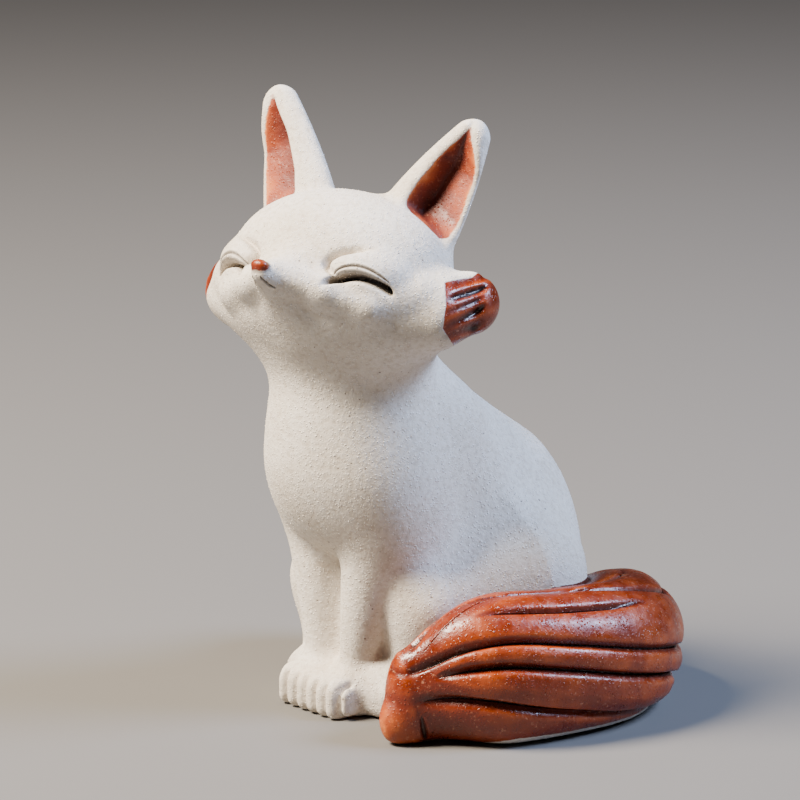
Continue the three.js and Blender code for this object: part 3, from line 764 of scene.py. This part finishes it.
def add(tree, kind, inputs=(), out=0, stops=(), **settings):
    """Adds a node with its settings, and values or links in order or by name; gives one output."""
    node = tree.nodes.new(kind)
    for key, value in settings.items():
        setattr(node, key, value)
    for number, (at, code) in enumerate(stops):
        elements = node.color_ramp.elements
        element = elements[number] if number < 2 else elements.new(at)
        element.position, element.color = at, colour(code)
    shown = [socket for socket in node.inputs if socket.enabled]
    for key, value in inputs.items() if isinstance(inputs, dict) else enumerate(inputs):
        socket = shown[key] if isinstance(key, int) else next(s for s in shown if s.name == key)
        if isinstance(value, bpy.types.NodeSocket):
            tree.links.new(value, socket)
        else:
            socket.default_value = value
    given = [socket for socket in node.outputs if socket.enabled]
    return next((s for n, s in enumerate(given) if out in (n, s.name)), None)


# %% Empty trees, the steps that both geometry trees share, and what a tree makes
def new_material(name):
    """A material with an empty tree of nodes."""
    material = bpy.data.materials.new(name)
    material.use_nodes = True
    material.node_tree.nodes.clear()
    return material


def new_tree(name, **sizes):
    """An empty geometry tree with a geometry in and out, and one named input for each size."""
    tree = bpy.data.node_groups.new(name, "GeometryNodeTree")
    face = tree.interface
    face.new_socket(name="Geometry", in_out="OUTPUT", socket_type="NodeSocketGeometry")
    face.new_socket(name="Geometry", in_out="INPUT", socket_type="NodeSocketGeometry")
    for label, kind in sizes.items():
        face.new_socket(name=label.replace("_", " "), in_out="INPUT", socket_type="NodeSocket" + kind)
    given = tree.nodes.new("NodeGroupInput").outputs
    return tree, {socket.name: socket for socket in given if socket.name}


def pushed(tree, geometry, normal, amount):
    """The points of a geometry, moved along their normals."""
    offset = add(tree, "ShaderNodeVectorMath", {0: normal, "Scale": amount}, operation="SCALE")
    return add(tree, "GeometryNodeSetPosition", {"Geometry": geometry, "Offset": offset})


def closed(tree, geometry, material):
    """The tree with its end: everything becomes real mesh and gets its material."""
    real = add(tree, "GeometryNodeRealizeInstances", {"Geometry": geometry})
    done = add(tree, "GeometryNodeSetMaterial", {"Geometry": real, "Material": material})
    add(tree, "NodeGroupOutput", [done])
    return tree


def worked(obj, tree, name, **values):
    """The object with the tree worked into it, as a plain mesh; each input is set by its identifier."""
    modifier = obj.modifiers.new(tree.name, "NODES")
    modifier.node_group = tree
    for socket in tree.interface.items_tree:
        label = socket.name.replace(" ", "_")
        if socket.in_out == "INPUT" and label in values:
            modifier[socket.identifier] = values[label]
    return evaluated(obj, name)


def evaluated(obj, name):
    """A plain mesh object of what the modifiers make; the modifiers stay behind."""
    graph = bpy.context.evaluated_depsgraph_get()
    mesh = bpy.data.meshes.new_from_object(obj.evaluated_get(graph))
    mesh.name = name
    obj.modifiers.clear()
    return placed(name, mesh)


# %% [markdown]
# ## Pressing the fine lines in
#
# A line that follows a path on a surface is a job for geometry nodes. The tree measures how far each
# vertex is from the nearest path, reads how wide and deep the stick went there, and moves the vertex
# along its normal: in at the line, and a little out on both sides, where the clay was pushed up. It
# also keeps how near to a line each vertex is, because slip pools there and shade is painted there.

# %% The tree that presses them
finish = new_material("white_stoneware_with_iron_slip")


def press_tool_lines():
    tree, given = new_tree(
        "press_tool_lines", Paths="Object", Lip="Float", Lip_Reach="Float", Finish="Material")
    paths = add(tree, "GeometryNodeObjectInfo", {"Object": given["Paths"]}, out="Geometry")
    gap = add(tree, "GeometryNodeProximity", [paths], out="Distance", target_element="EDGES")
    nearest = add(tree, "GeometryNodeSampleNearest", {"Geometry": paths})
    read = {}
    for name in ("half", "deep"):
        value = add(tree, "GeometryNodeInputNamedAttribute", {"Name": name})
        read[name] = add(tree, "GeometryNodeSampleIndex",
                         {"Geometry": paths, "Value": value, "Index": nearest})
    share = add(tree, "ShaderNodeMath", [gap, read["half"]], operation="DIVIDE")
    beside = add(tree, "ShaderNodeMath", [share, given["Lip Reach"]], operation="SUBTRACT")
    bumps = []
    for away in (share, beside):
        square = add(tree, "ShaderNodeMath", [away, away], operation="MULTIPLY")
        fall = add(tree, "ShaderNodeMath", [square, -1.0], operation="MULTIPLY")
        bumps.append(add(tree, "ShaderNodeMath", [fall], operation="EXPONENT"))
    line, lip = bumps
    lip = add(tree, "ShaderNodeMath", [lip, given["Lip"]], operation="MULTIPLY")
    rise = add(tree, "ShaderNodeMath", [lip, line], operation="SUBTRACT")
    rise = add(tree, "ShaderNodeMath", [rise, read["deep"]], operation="MULTIPLY")
    kept = add(tree, "GeometryNodeStoreNamedAttribute",
               {"Geometry": given["Geometry"], "Name": "pressed", "Value": line})
    return closed(tree, pushed(tree, kept, add(tree, "GeometryNodeInputNormal"), rise), given["Finish"])


lined = worked(clay, press_tool_lines(), "lined_clay",
               Paths=tool_paths, Lip=0.25, Lip_Reach=1.9, Finish=finish)
for used in (clay, tool_paths):
    bpy.data.objects.remove(used)

# %% [markdown]
# The mesh is far finer than it needs to be where the clay is plain. Decimate merges triangles where
# that changes the shape least, so the furrows and the eyes keep theirs.

# %% Fewer triangles
def vertices_of(mesh):
    co = np.empty(len(mesh.vertices) * 3, np.float32)
    mesh.vertices.foreach_get("co", co)
    return co.reshape(-1, 3).astype(float)


def values_of(mesh, name):
    values = np.empty(len(mesh.vertices), np.float32)
    mesh.attributes[name].data.foreach_get("value", values)
    return values


def triangles_in(mesh):
    return sum(len(p.vertices) - 2 for p in mesh.polygons)


MOST_TRIANGLES = 194000
fewer = lined.modifiers.new("fewer", "DECIMATE")
fewer.ratio = min(1.0, MOST_TRIANGLES / triangles_in(lined.data))
fox = evaluated(lined, "fox_figure")
bpy.data.objects.remove(lined)
print("now", triangles_in(fox.data), "triangles;",
      int((values_of(fox.data, "pressed") > 0.5).sum()), "vertices lie in a fine line")

# %% [markdown]
# ## Where the slip goes
#
# Two finishes share one surface, so the mesh carries what the shader needs to tell them apart. For
# each vertex we store how many millimetres it lies inside the painted area, how deep it sits in a
# furrow or a slit, where pooled slip and painted shade darken it, and whether it stands on a crown or
# in a dip, where the bare clay gets painted shade. The edge of the paint follows the
# forms, because the maker's brush stopped where one form runs into the next.

# %% Where the paint is, worked out for each vertex
TAIL_EDGE = Sizes(edge=0.35, most=6)
ROOT = Sizes(bare=0.06, rounded=0.08, up=4.4, half=4.4, long=60)  # the brush begins in a round end
FOOT_STRIP = Sizes(wide=1.0, narrow=0.2, ramp=(0.78, 0.92))  # the bare strip along the table
TUFT_EDGE = Sizes(start=-0.1, rise=0.25, far_rise=0.65, top=2.5, turn=2.2, skin=1.5, low=-2.3, drop=1.3)
EAR_EDGE = Sizes(leaf=0.3, cup=1.2, from_up=3)
NOSE_EDGE = 0.25
OUTSIDE = -3.0


def painted_tail(p, bare, place):
    area = np.minimum(body(p) - bare + TAIL_EDGE.edge, TAIL_EDGE.most)
    strip = mix(FOOT_STRIP.wide, FOOT_STRIP.narrow, ramp(place, *FOOT_STRIP.ramp))
    begins = ROOT.bare + ROOT.rounded * ((p[2] - ROOT.up) / ROOT.half) ** 2
    return np.minimum.reduce([area, (place - begins) * ROOT.long, p[2] - strip])


def painted_head(h, m):
    leaf, cup = ear(h)
    in_ear = np.minimum(-leaf - EAR_EDGE.leaf, EAR_EDGE.cup - np.abs(cup))
    area = np.where(m[2] > EAR_EDGE.from_up, in_ear, OUTSIDE)
    way, height = tuft_place(m)
    rise = TUFT_EDGE.rise * np.maximum(height, 0)
    far_rise = TUFT_EDGE.far_rise * np.maximum(height - TUFT_EDGE.low, 0)
    on_tuft = np.minimum.reduce([
        way - TUFT_EDGE.start + np.where(h[0] > 0, rise, far_rise),
        TUFT_EDGE.top - height + np.maximum(way - TUFT_EDGE.turn, 0),
        height - TUFT_EDGE.low + TUFT_EDGE.drop * np.maximum(way, 0),
        TUFT_EDGE.skin - limb(m, **TUFT)])
    return np.maximum.reduce([area, on_tuft, NOSE_EDGE - egg(h, **NOSE)])


# %% Where slip pools, and where shade is painted
# the grooves of the tufts are painted darker: pooled slip and painted shade
TUFT_POOLING_AND_SHADE = Sizes(by_depth=1.3, most=0.7, width=0.4)
# the slits of the eyes are painted darker as shade, less on the far eye
EYE_SHADE = Sizes(up=0.14, width=0.4, inner=0.2, outer=0.3, right=0.35)
NOSE_STAIN = Sizes(most=0.6, reach=0.4)
TAIL_SKIN = (0.2, 0.8)  # outside the tail, its lines fade over this distance
RUBBED = Sizes(share=0.5, reach=1.6)
IN_FINE_LINES = 0.9  # the share of the darker line, pooled slip and painted shade, that a fine line holds
CROWN_HEIGHT = 0.1  # millimetres


def furrowed_head(h, m):
    """How much darker the tufts' grooves are painted (pooled slip and painted shade), the eyes' slits
    (painted shade) and the nose (its own darker slip).
    """
    depths = [min(TUFT_POOLING_AND_SHADE.most, TUFT_POOLING_AND_SHADE.by_depth * deep) for _, _, deep in GROOVES]
    lines = grooved(*tuft_place(m), TUFT_POOLING_AND_SHADE.width, depths)
    e = m[0] - EYE.across
    within = 1 - ramp(np.abs(e), EYE.half - EYE_SHADE.inner, EYE.half + EYE_SHADE.outer)
    eye = bump(over_slit(e, m[2]) - EYE_SHADE.up, EYE_SHADE.width) * within * (m[1] < 0)
    eye = eye * np.where(h[0] > 0, 1, EYE_SHADE.right)
    nose = NOSE_STAIN.most * (egg(h, **NOSE) < NOSE_STAIN.reach)
    return np.maximum.reduce([lines, eye, nose])


def painted(p):
    """How far inside the painted area each point is, and how much darker it is painted in a furrow:
    pooled slip and painted shade.
    """
    _, bare, line, place = tail(p)
    line = line * (1 - ramp(bare, *TAIL_SKIN))
    h = into_head(p)
    m = mirrored(h)
    up = p[2] > HEAD_FROM
    return (np.where(up, painted_head(h, m), painted_tail(p, bare, place)),
            np.where(up, furrowed_head(h, m), line))


def thin_slip(p):
    """1 in the ears, where the brush was nearly dry, less on the rubbed end of the tail, else 0."""
    in_ears = ramp(into_head(p)[2], EAR_EDGE.from_up, EAR_EDGE.from_up + 1) * (p[2] > HEAD_FROM)
    return np.maximum(in_ears, RUBBED.share * (1 - ramp(egg(p, **KNOB), 0, RUBBED.reach)))


def crown_of(mesh, where, rounds=6):
    """How far each point stands above the middle of the points round it, in millimetres."""
    ends = np.empty(len(mesh.edges) * 2, np.int32)
    mesh.edges.foreach_get("vertices", ends)
    normals = np.empty(len(mesh.vertices) * 3, np.float32)
    mesh.vertex_normals.foreach_get("vector", normals)
    now = where
    for _ in range(rounds):
        now = neighbour_middles(now, ends.reshape(-1, 2))
    return ((where - now) / MM * normals.reshape(-1, 3)).sum(1)


mesh = fox.data
where = vertices_of(mesh)
p = tuple(to_field(where).T)
area, line = painted(p)
store(mesh, "painted", area)
# the lines, grooves and slits are painted darker: painted shade, with pooled slip where there is slip;
# the nose is darker slip
store(mesh, "tool_line", np.maximum(line, IN_FINE_LINES * values_of(mesh, "pressed")))
store(mesh, "crown", np.clip(crown_of(mesh, where) / CROWN_HEIGHT, -1, 1))
store(mesh, "thin", thin_slip(p))
print("painted share of the vertices:", round(float((area > 0).mean()), 2))

# %% [markdown]
# ## White clay
#
# The body is white grogged stoneware: fine clay with ground sand in it, wiped with a wet finger so that
# the grains stand out, and fired without a glaze. The eye sees a warm chalky white that drifts a
# little in tone, a grain of a quarter of a millimetre, and a few rusty specks of iron. The drift is
# noise at its real size. Grains and specks are cells: each cell draws a number by chance that says how
# large its grain is, and the grain is a small dome round the cell's middle. A second noise bends the
# cells, so that no grain is round.

# %% Patterns that both finishes read
PATTERNS = dict(  # the size of each in millimetres, its detail and its roughness
    drift=(7.0, 2.0, 0.5), uneven=(0.5, 3.0, 0.6), brushed=(2.2, 3.0, 0.5),
    fleck=(0.3, 2.0, 0.5), ragged=(0.5, 2.0, 0.5), worn=(1.1, 2.0, 0.5),
)
ON_VERTICES = ("tool_line", "crown", "painted", "thin")


def read_patterns(tree):
    """The place in millimetres, a noise of each size, and the numbers that the vertices carry."""
    place = add(tree, "ShaderNodeTexCoord", out="Object")
    mm = add(tree, "ShaderNodeVectorMath", {0: place, "Scale": 1 / MM}, operation="SCALE")
    read = {}
    for name, (size, detail, rough) in PATTERNS.items():
        read[name] = add(tree, "ShaderNodeTexNoise",
                         {"Vector": mm, "Scale": 1 / size, "Detail": detail, "Roughness": rough})
    for name in ON_VERTICES:
        read[name] = add(tree, "ShaderNodeAttribute", out="Fac", attribute_name=name)
    return Sizes(mm=mm, **read)


# %% The clay's colour and its grain
GRAIN = Sizes(size=0.25, bent=0.14, smallest=0.05, largest=0.5, high=2.2)  # radii are in cells
SPECK = Sizes(size=0.95, spread=0.34, fewer=-0.22, edge=0.03, pit=-0.4)  # a cell is size mm wide


def white_clay(tree, read):
    """The colour of the clay with painted shade in its dips and lines, and the height of its grain."""
    cream = add(tree, "ShaderNodeValToRGB", [read.drift], stops=((0.35, "#d0c8bc"), (0.65, "#dad4cb")))
    wave = read.uneven
    ground = add(tree, "ShaderNodeValToRGB", [wave],
                 stops=((0.3, "#c4b8a8"), (0.5, "#f2eee8"), (0.7, "#ffffff")))
    cream = add(tree, "ShaderNodeMix", [0.55, cream, ground], data_type="RGBA", blend_type="MULTIPLY")
    bent = add(tree, "ShaderNodeVectorMath",
               [wave.node.outputs["Color"], (GRAIN.bent,) * 3, read.mm], operation="MULTIPLY_ADD")
    middle, chance = {}, {}
    for name, size in (("grain", GRAIN.size), ("speck", SPECK.size)):
        middle[name] = add(tree, "ShaderNodeTexVoronoi", {"Vector": bent, "Scale": 1 / size})
        chance[name] = add(tree, "ShaderNodeSeparateColor", [middle[name].node.outputs["Color"]])
    radius = add(tree, "ShaderNodeMapRange", [chance["grain"], 0.0, 1.0, GRAIN.smallest, GRAIN.largest])
    dome = add(tree, "ShaderNodeMath", [radius, middle["grain"]], operation="SUBTRACT")
    dome = add(tree, "ShaderNodeMath", [dome, 0.0], operation="MAXIMUM")
    radius = add(tree, "ShaderNodeMath", [chance["speck"], SPECK.spread, SPECK.fewer],
                 operation="MULTIPLY_ADD")
    gap = add(tree, "ShaderNodeMath", [middle["speck"], radius], operation="SUBTRACT")
    shown = add(tree, "ShaderNodeMapRange", [dome, 0.0, 0.15, 0.0, 0.55])
    speck = add(tree, "ShaderNodeMapRange", [gap, -SPECK.edge, SPECK.edge, 0.8, 0.0])
    # painted shade: the bare clay is darker in the dips, where shade falls
    dip_shade = add(tree, "ShaderNodeMapRange", [read.crown, -1.0, -0.1, 0.35, 0.0])
    # painted shade: the slits, the fine lines and the furrows are darkened to a near black brown
    stain = add(tree, "ShaderNodeMath", [read.tool_line, 0.9], operation="MULTIPLY")
    for share, code in ((shown, "#eee9e1"), (speck, "#59483a"), (dip_shade, "#b3a38d"), (stain, "#2e2119")):
        cream = add(tree, "ShaderNodeMix", [share, cream, colour(code)], data_type="RGBA")
    pitted = add(tree, "ShaderNodeMath", [speck, SPECK.pit, wave], operation="MULTIPLY_ADD")
    height = add(tree, "ShaderNodeMath", [dome, GRAIN.high, pitted], operation="MULTIPLY_ADD")
    return cream, height


# %% [markdown]
# ## Red slip
#
# The slip is thin clay full of iron, brushed on and rubbed by fingers until it shines a little. It is
# nearly black where it pooled in the furrows, and orange where it is thin on the crowns of the locks,
# so its colour is a ramp read by height. Along the furrows, grooves and slits it is painted darker
# still: pooled slip and painted shade. Pale grains of the sand below show through here and there.

# %% Its colour
SLIP = (
    (0.0, "#200903"), (0.18, "#3a0f05"), (0.42, "#5c1b06"),
    (0.62, "#712507"), (0.85, "#9c4212"), (1.0, "#c46c30"),
)
DARKER_IN_LINES, PALER_WHERE_THIN = -0.3, 0.26


def red_slip(tree, read):
    """The colour of the slip, from how high a point stands, how thin the coat is, and how much darker
    its lines are painted as pooled slip and painted shade.
    """
    wave = add(tree, "ShaderNodeMapRange", [read.brushed, 0.3, 0.7, -0.1, 0.1])
    tone = add(tree, "ShaderNodeMapRange", [read.crown, -1.0, 1.0, 0.14, 0.84])
    tone = add(tree, "ShaderNodeMath", [tone, wave], operation="ADD")
    # darker in the lines: pooled slip and painted shade; paler where the coat is thin
    for share, by in ((read.tool_line, DARKER_IN_LINES), (read.thin, PALER_WHERE_THIN)):
        tone = add(tree, "ShaderNodeMath", [share, by, tone], operation="MULTIPLY_ADD")
    red = add(tree, "ShaderNodeValToRGB", [tone], stops=SLIP)
    shown = add(tree, "ShaderNodeMapRange", [read.fleck, 0.62, 0.75, 0.0, 0.4])
    return add(tree, "ShaderNodeMix", [shown, red, colour("#cf9272")], data_type="RGBA")


# %% Both finishes in one material
ROUGHNESS = Sizes(clay=0.86, slip=0.34, uneven=0.12, thin=0.24)
RAGGED = 0.05  # how far the edge of the paint wanders, and how soft it is, in millimetres
GRAIN_HEIGHT = Sizes(distance=0.00009, in_slip=0.6)  # metres, and the share of it that slip leaves


def clay_and_slip(material):
    """White grogged stoneware, unglazed and dry, with a burnished iron slip over part of it."""
    tree = material.node_tree
    read = read_patterns(tree)
    cream, height = white_clay(tree, read)
    red = red_slip(tree, read)
    ragged = add(tree, "ShaderNodeMapRange", [read.ragged, 0.3, 0.7, -RAGGED, RAGGED])
    edge = add(tree, "ShaderNodeMath", [read.painted, ragged], operation="ADD")
    paint = add(tree, "ShaderNodeMapRange", [edge, -RAGGED, RAGGED])
    uneven = add(tree, "ShaderNodeMapRange",
                 [read.worn, 0.3, 0.7, -ROUGHNESS.uneven, ROUGHNESS.uneven])
    rough = add(tree, "ShaderNodeMapRange", [paint, 0.0, 1.0, ROUGHNESS.clay, ROUGHNESS.slip])
    rough = add(tree, "ShaderNodeMath", [rough, uneven], operation="ADD")
    rough = add(tree, "ShaderNodeMath", [read.thin, ROUGHNESS.thin, rough],
                operation="MULTIPLY_ADD", use_clamp=True)
    share = add(tree, "ShaderNodeMapRange", [paint, 0.0, 1.0, 1.0, GRAIN_HEIGHT.in_slip])
    height = add(tree, "ShaderNodeMath", [height, share], operation="MULTIPLY")
    relief = add(tree, "ShaderNodeBump",
                 {"Strength": 1.0, "Distance": GRAIN_HEIGHT.distance, "Height": height})
    base = add(tree, "ShaderNodeMix", [paint, cream, red], data_type="RGBA")
    shader = add(tree, "ShaderNodeBsdfPrincipled",
                 {"Base Color": base, "Roughness": rough, "IOR": 1.5, "Normal": relief})
    add(tree, "ShaderNodeOutputMaterial", {"Surface": shader})


clay_and_slip(finish)
print(len(finish.node_tree.nodes), "nodes in", finish.name)

# %% [markdown]
# ## Sand
#
# The largest grains of the sand can be felt with a fingernail, so they are real bumps: small stones, a
# tenth to a fifth of a millimetre across and more than half sunk in the clay. Geometry nodes scatter
# them with a fixed seed over the bare clay alone. Each has eight faces, is squeezed and turned by
# chance, and carries a number of its own, from which its material makes quartz, tan stone or iron.

# %% The tree that scatters the grains
FACES = 8  # of a ball with four segments and two rings


def quartz_and_iron():
    """Ground quartz and feldspar with some iron ore: dull small stones, pale, tan or rust black."""
    material = new_material("quartz_and_iron_sand")
    tree = material.node_tree
    shade = add(tree, "ShaderNodeAttribute", out="Fac", attribute_name="stone")
    stone = add(tree, "ShaderNodeValToRGB", [shade], stops=(
        (0.0, "#3d3027"), (0.05, "#57453a"), (0.08, "#c2b49f"), (0.5, "#ded5c8"), (1.0, "#efe9e0")))
    shader = add(tree, "ShaderNodeBsdfPrincipled", {"Base Color": stone, "Roughness": 0.7, "IOR": 1.54})
    add(tree, "ShaderNodeOutputMaterial", {"Surface": shader})
    return material


def scatter_sand():
    tree, given = new_tree(
        "scatter_sand", Grains_per_Square_Metre="Float", Smallest="Float", Largest="Float",
        Sunk="Float", Clear_of_Slip="Float", Seed="Int", Stone="Material")
    area = add(tree, "GeometryNodeInputNamedAttribute", {"Name": "painted"})
    bare = add(tree, "FunctionNodeCompare", [area, given["Clear of Slip"]], operation="LESS_THAN")
    spots = add(tree, "GeometryNodeDistributePointsOnFaces",
                {"Mesh": given["Geometry"], "Selection": bare,
                 "Density": given["Grains per Square Metre"], "Seed": given["Seed"]})
    size = add(tree, "FunctionNodeRandomValue",
               {"Min": given["Smallest"], "Max": given["Largest"], "Seed": given["Seed"]})
    depth = add(tree, "ShaderNodeMath", [size, given["Sunk"]], operation="MULTIPLY")
    sunk = pushed(tree, spots, spots.node.outputs["Normal"], depth)
    ball = add(tree, "GeometryNodeMeshUVSphere", {"Segments": 4, "Rings": 2, "Radius": 1.0})
    squeeze = add(tree, "FunctionNodeRandomValue",
                  {"Min": (0.6,) * 3, "Max": (1.2,) * 3, "Seed": 5}, data_type="FLOAT_VECTOR")
    form = add(tree, "ShaderNodeVectorMath", {0: squeeze, "Scale": size}, operation="SCALE")
    turn = add(tree, "FunctionNodeRandomValue",
               {"Min": (0.0,) * 3, "Max": (math.tau,) * 3, "Seed": 6}, data_type="FLOAT_VECTOR")
    stones = add(tree, "GeometryNodeInstanceOnPoints",
                 {"Points": sunk, "Instance": ball, "Rotation": turn, "Scale": form})
    chance = add(tree, "FunctionNodeRandomValue", {"Min": 0.0, "Max": 1.0, "Seed": 7})
    named = add(tree, "GeometryNodeStoreNamedAttribute",
                {"Geometry": stones, "Name": "stone", "Value": chance}, domain="INSTANCE")
    return closed(tree, named, given["Stone"])


sand = worked(fox, scatter_sand(), "sand_grains", Grains_per_Square_Metre=2.3e6, Smallest=0.04 * MM,
              Largest=0.11 * MM, Sunk=-0.35, Clear_of_Slip=-0.3, Seed=11, Stone=quartz_and_iron())
print(len(sand.data.polygons) // FACES, "grains of sand")

# %% [markdown]
# ## Table, light and camera
#
# The figure stands on a plain floor of pale grey. A soft warm light comes from the upper left and a
# cooler one from the right and behind. The camera is where the photographer's was: well to the fox's
# left, slightly above the table, with a long lens.

# %% Floor and lights
AZIMUTH, ELEVATION = 50, 12.5
FLOOR = 2.0  # half its side in metres
LAMPS = dict(  # turn from the camera's side, height in degrees, watts and colour
    warm_key=(-76, 50, 13.5, "#fff0dc"),
    cool_side=(84, 42, 6.4, "#bcd3ff"),
)
LAMP_AWAY, LAMP_WIDE, AIM_UP = 0.5, 0.2, 0.03  # metres; the lamps point at the middle of the fox
WORLD = Sizes(tint="#e8ebef", strength=0.04)


def toward(azimuth, elevation):
    a, e = math.radians(azimuth), math.radians(elevation)
    return Vector((math.sin(a) * math.cos(e), -math.cos(a) * math.cos(e), math.sin(e)))


def floor_material():
    """Matt grey paint on board, rolled on: an even tone with no shine."""
    material = bpy.data.materials.new("matt_pale_paint")
    material.use_nodes = True
    shader = material.node_tree.nodes["Principled BSDF"]
    shader.inputs["Base Color"].default_value = colour("#666461")
    shader.inputs["Roughness"].default_value = 0.75
    return material


corners = np.array([(-1, -1, 0), (1, -1, 0), (1, 1, 0), (-1, 1, 0)]) * FLOOR
floor = mesh_object("floor", corners, [], [(0, 1, 2, 3)])
floor.data.materials.append(floor_material())

for name, (turn, height, watts, tint) in LAMPS.items():
    light = bpy.data.lights.new(name, "AREA")
    light.shape, light.size, light.energy, light.color = "DISK", LAMP_WIDE, watts, colour(tint)[:3]
    lamp = placed(name, light)
    way = toward(AZIMUTH + turn, height)
    lamp.location = Vector((0, 0, AIM_UP)) + way * LAMP_AWAY
    lamp.rotation_euler = way.to_track_quat("Z", "Y").to_euler()

world = bpy.data.worlds.new("studio")
world.use_nodes = True
background = world.node_tree.nodes["Background"].inputs
background["Color"].default_value = colour(WORLD.tint)
background["Strength"].default_value = WORLD.strength
bpy.context.scene.world = world

# %% Camera
PIXELS, PER_MM = 800, 10  # the picture's side, and its scale at the target
DISTANCE, TARGET, TARGET_AT = 400, (2, 0, 31), (430, 392)
SENSOR = 36
CLIP = 0.01
back = toward(AZIMUTH, ELEVATION)
right = toward(AZIMUTH + 90, 0)
upward = back.cross(right)
left_of, below = ((PIXELS / 2 - at) / PER_MM for at in TARGET_AT)
aim = Vector(TARGET) + right * left_of - upward * below
camera = placed("camera", bpy.data.cameras.new("camera"))
camera.data.sensor_width = SENSOR
camera.data.lens = SENSOR * DISTANCE * PER_MM / PIXELS
camera.data.clip_start = CLIP
camera.location = to_frame(aim + back * DISTANCE)
camera.rotation_euler = back.to_track_quat("Z", "Y").to_euler()
bpy.context.scene.camera = camera
print("lens", round(camera.data.lens, 1), "mm, camera at", tuple(round(v, 3) for v in camera.location))

# %% [markdown]
# ## Handing over
#
# The figure and its sand replace the plain solid of the same size, and ride on the one body there is.

# %% The figure in the frame
for piece in (fox, sand):
    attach(piece, "root")
    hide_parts("fox")
